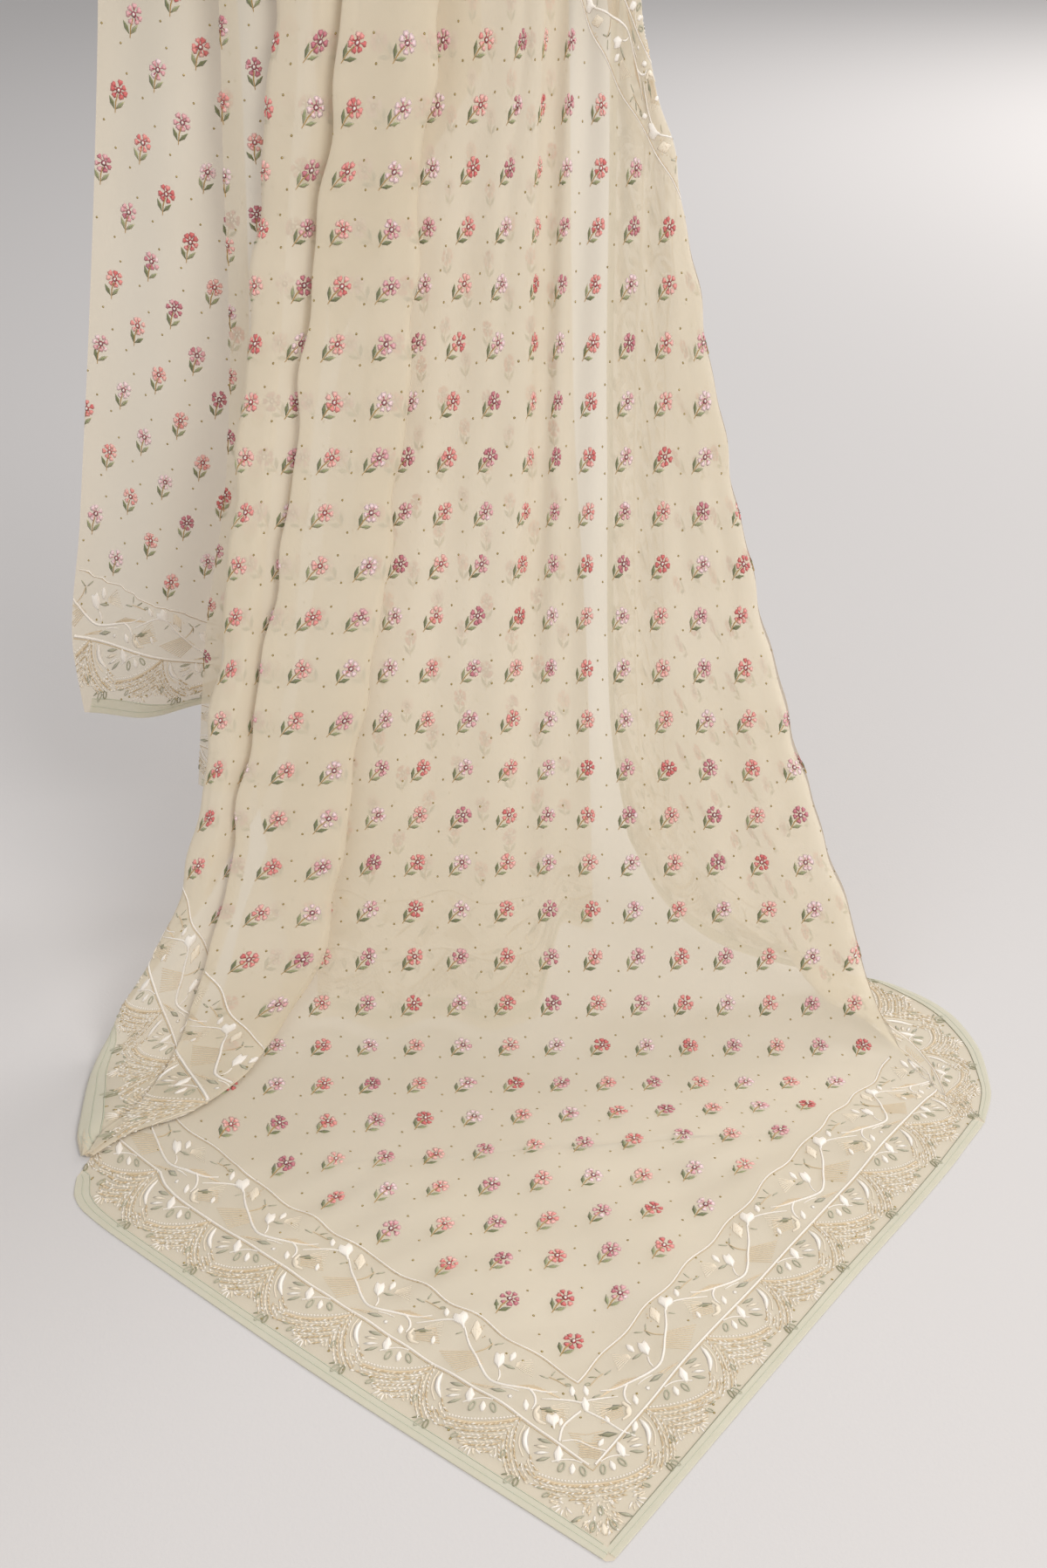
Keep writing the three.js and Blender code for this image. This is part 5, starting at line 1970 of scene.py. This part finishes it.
    def run(self, sewing: Sewing, hem: Hem) -> None:
        """Sews the whole border along a run of hem.

        Args:
            sewing: the sheet's sewing.
            hem: the run of hem.
        """
        self.sewing, self.hem = sewing, hem
        self.chance = np.random.default_rng(self.seed)
        self.facing()
        along = np.arange(hem.first, hem.last, 5.0)
        self.line(along, FAN_LINE, 2.0, 0.8, Thread.IVORY, 0.1)
        self.line(along, FAN_LINE - 1.7, 0.8, 0.4, Thread.SAND)
        wavy = BORDER + 1.6 * np.sin(along * 2 * math.pi / VINE_PITCH * 2)
        self.line(along, wavy, 1.5, 0.7, Thread.IVORY, 0.1)
        self.line(along, wavy - 1.3, 0.7, 0.4, Thread.SAND)
        first, last = ((end - self.first_fan) / FAN_PITCH for end in (hem.first, hem.last))
        deep, reach = self.fan_reach
        for n in range(math.floor(first), math.ceil(last) + 1):
            centre = self.first_fan + n * FAN_PITCH
            near = sewing.sheet.covers(tuple(hem.place(centre, deep)), reach)
            if near and not (hem.mitred and n < 0):
                self.fan(centre)
        deep, reach = self.vine_reach
        for n in range(math.floor(hem.first / VINE_PITCH) - 1, math.ceil(hem.last / VINE_PITCH) + 2):
            start = self.first_heart + n * VINE_PITCH
            if sewing.sheet.covers(tuple(hem.place(start - VINE_PITCH / 2, deep)), reach):
                self.vine(start)
        if hem.mitred and not hem.mirrored:
            self.corner()


# ---- the room ----
@dataclass
class Studio:
    """A pale floor, soft lights and the camera."""

    camera_place: tuple[float, float, float] = (0.145, -1.44, -0.105)
    camera_pitch: float = 57.8
    lens: float = 35.0
    floor_size: float = 40.0

    def build_floor(self) -> None:
        """Lays the floor just under the cloth."""
        half = self.floor_size * 500
        x, y = half * np.array([[-1, 1, 1, -1], [-1, -1, 1, 1]])
        floor = make_mesh("studio_floor", vectors(x, y, FLOOR - 0.2), [(0, 1, 2, 3)], {})
        floor.data.materials.append(StudioFloor().material())

    def build_lights(self) -> None:
        """Hangs a soft key at the right, a weak fill at the left and a wash over the far floor."""
        for name, place, aim, size, power in (
            ("key", (1.9, -2.2, 1.5), (0.1, -0.3, -0.7), 1.9, 60.0),
            ("fill", (-1.8, -1.6, 1.6), (0.1, -0.3, -0.7), 2.4, 16.0),
            ("wash", (5.1, 4.1, 3.2), (4.3, 4.6, -1.12), 4.0, 330.0),
        ):
            light = bpy.data.lights.new(name, "AREA")
            light.size = size
            light.energy = power
            lamp = bpy.data.objects.new(name, light)
            lamp.location = place
            lamp.rotation_euler = look_along(np.array(aim) - np.array(place))
            bpy.context.collection.objects.link(lamp)
        world = bpy.data.worlds.new("soft_room")
        world.use_nodes = True
        world.node_tree.nodes["Background"].inputs["Color"].default_value = linear("F8F9FB")
        world.node_tree.nodes["Background"].inputs["Strength"].default_value = 0.45
        bpy.context.scene.world = world

    def build_camera(self) -> None:
        """Sets the camera."""
        data = bpy.data.cameras.new("camera")
        data.lens = self.lens
        camera = bpy.data.objects.new("camera", data)
        camera.location = self.camera_place
        camera.rotation_euler = (math.radians(self.camera_pitch), 0, 0)
        bpy.context.collection.objects.link(camera)
        bpy.context.scene.camera = camera


def look_along(way: Points) -> tuple[float, float, float]:
    """Returns the turn that points an object's -Z along a direction."""
    return tuple(Vector(way.tolist()).to_track_quat("-Z", "Y").to_euler())


# ---- putting it together ----
@dataclass
class Dressed:
    """What a sheet stands for and how it is sewn."""

    sheet: ClothSheet
    replaces: tuple[str, ...]
    held: str
    rests_on: tuple[str, ...]
    hems: tuple[Hem, ...]
    long_end: bool = False


def saree_sheets() -> list[Dressed]:
    """Lays out every stretch of the saree that shows.

    Returns:
        the sheets, with what each stands for.
    """
    hanging = Hanging()
    pleats = Pleats(hanging)
    straight = StraightStretches(hanging)
    pallu = Hem(pallu_edge, 0, CLOTH_WIDTH, mirrored=True, mitred=True)
    return [
        Dressed(
            FrontFall(hanging).sheet(), ("main_fall",), "draped", ("rail", "studio_floor"),
            (
                Hem(lower_edge, 0, 560, mitred=True), Hem(pallu_edge, 0, 620, mirrored=True, mitred=True),
                Hem(upper_edge, 700, 1360),
            ),
            True,
        ),
        Dressed(
            pleats.centre(), ("centre_pleat",), "draped", ("rail", "front_fall"),
            (Hem(lower_edge, 500, 860), Hem(upper_edge, 1250, 1900)),
        ),
        Dressed(
            pleats.left(), ("left_pleat",), "draped", ("rail", "front_fall"),
            (Hem(lower_edge, 500, 900), Hem(upper_edge, 1250, 1950)),
        ),
        Dressed(
            FoldBack(hanging).sheet(), ("fold_back",), "draped", ("front_fall", "studio_floor"),
            (pallu, Hem(upper_edge, 0, 1000)), True,
        ),
        Dressed(
            straight.short_end_sheet(), ("short_end",), "hung", ("rail",), (Hem(lower_edge, 2600, 3500),)
        ),
        Dressed(straight.roll_sheet(), ("side_roll",), "hung", ("rail",), (Hem(lower_edge, 1800, 1910),)),
        Dressed(
            straight.under_sheet(), ("under_folds",), "gathered", ("rail",), (Hem(lower_edge, 1150, 1510),)
        ),
    ]


def main() -> None:
    """Builds the saree's cloth, its embroidery, the rail's finish and the room."""
    logging.basicConfig(level=logging.INFO, format="%(message)s")
    bpy.context.scene.view_settings.view_transform = "Standard"
    needle = Needlework()
    sprigs, border = Sprigs(needle), BorderWork(needle)
    materials = {finish: finish.value.material() for finish in Thread}
    materials |= {finish: finish.material() for finish in (Sequin(), HemFacing())}
    cloth = Georgette().material()
    for part in saree_sheets():
        piece = part.sheet.build(cloth)
        name = part.sheet.name.removesuffix("_cloth")
        edging, flowers = Sewing(part.sheet), Sewing(part.sheet)
        for hem in part.hems:
            border.run(edging, hem)
        count = sprigs.scatter(flowers, part.long_end)
        sewn = [edging.build(f"{name}_border", materials), flowers.build(f"{name}_sprigs", materials)]
        size, area = part.sheet.flat_size()
        for made, slot in zip((piece, *sewn), ("georgette", "embroidery", "embroidery"), strict=True):
            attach(made, "root")
        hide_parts(*part.replaces)
        log.info(
            "%s: %.2f by %.2f m of cloth, %.3f square metres, %d sprigs, %d and %d stitched faces",
            part.sheet.name, *size, area, count, len(edging.faces), len(flowers.faces),
        )
    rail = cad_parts["rail"]
    steel = BrushedSteel().material()
    for slot in rail.material_slots:
        slot.material = steel
    studio = Studio()
    studio.build_floor()
    studio.build_lights()
    studio.build_camera()
    log.info("rail, floor, lights and camera are in place")


if __name__ == "__main__":
    main()
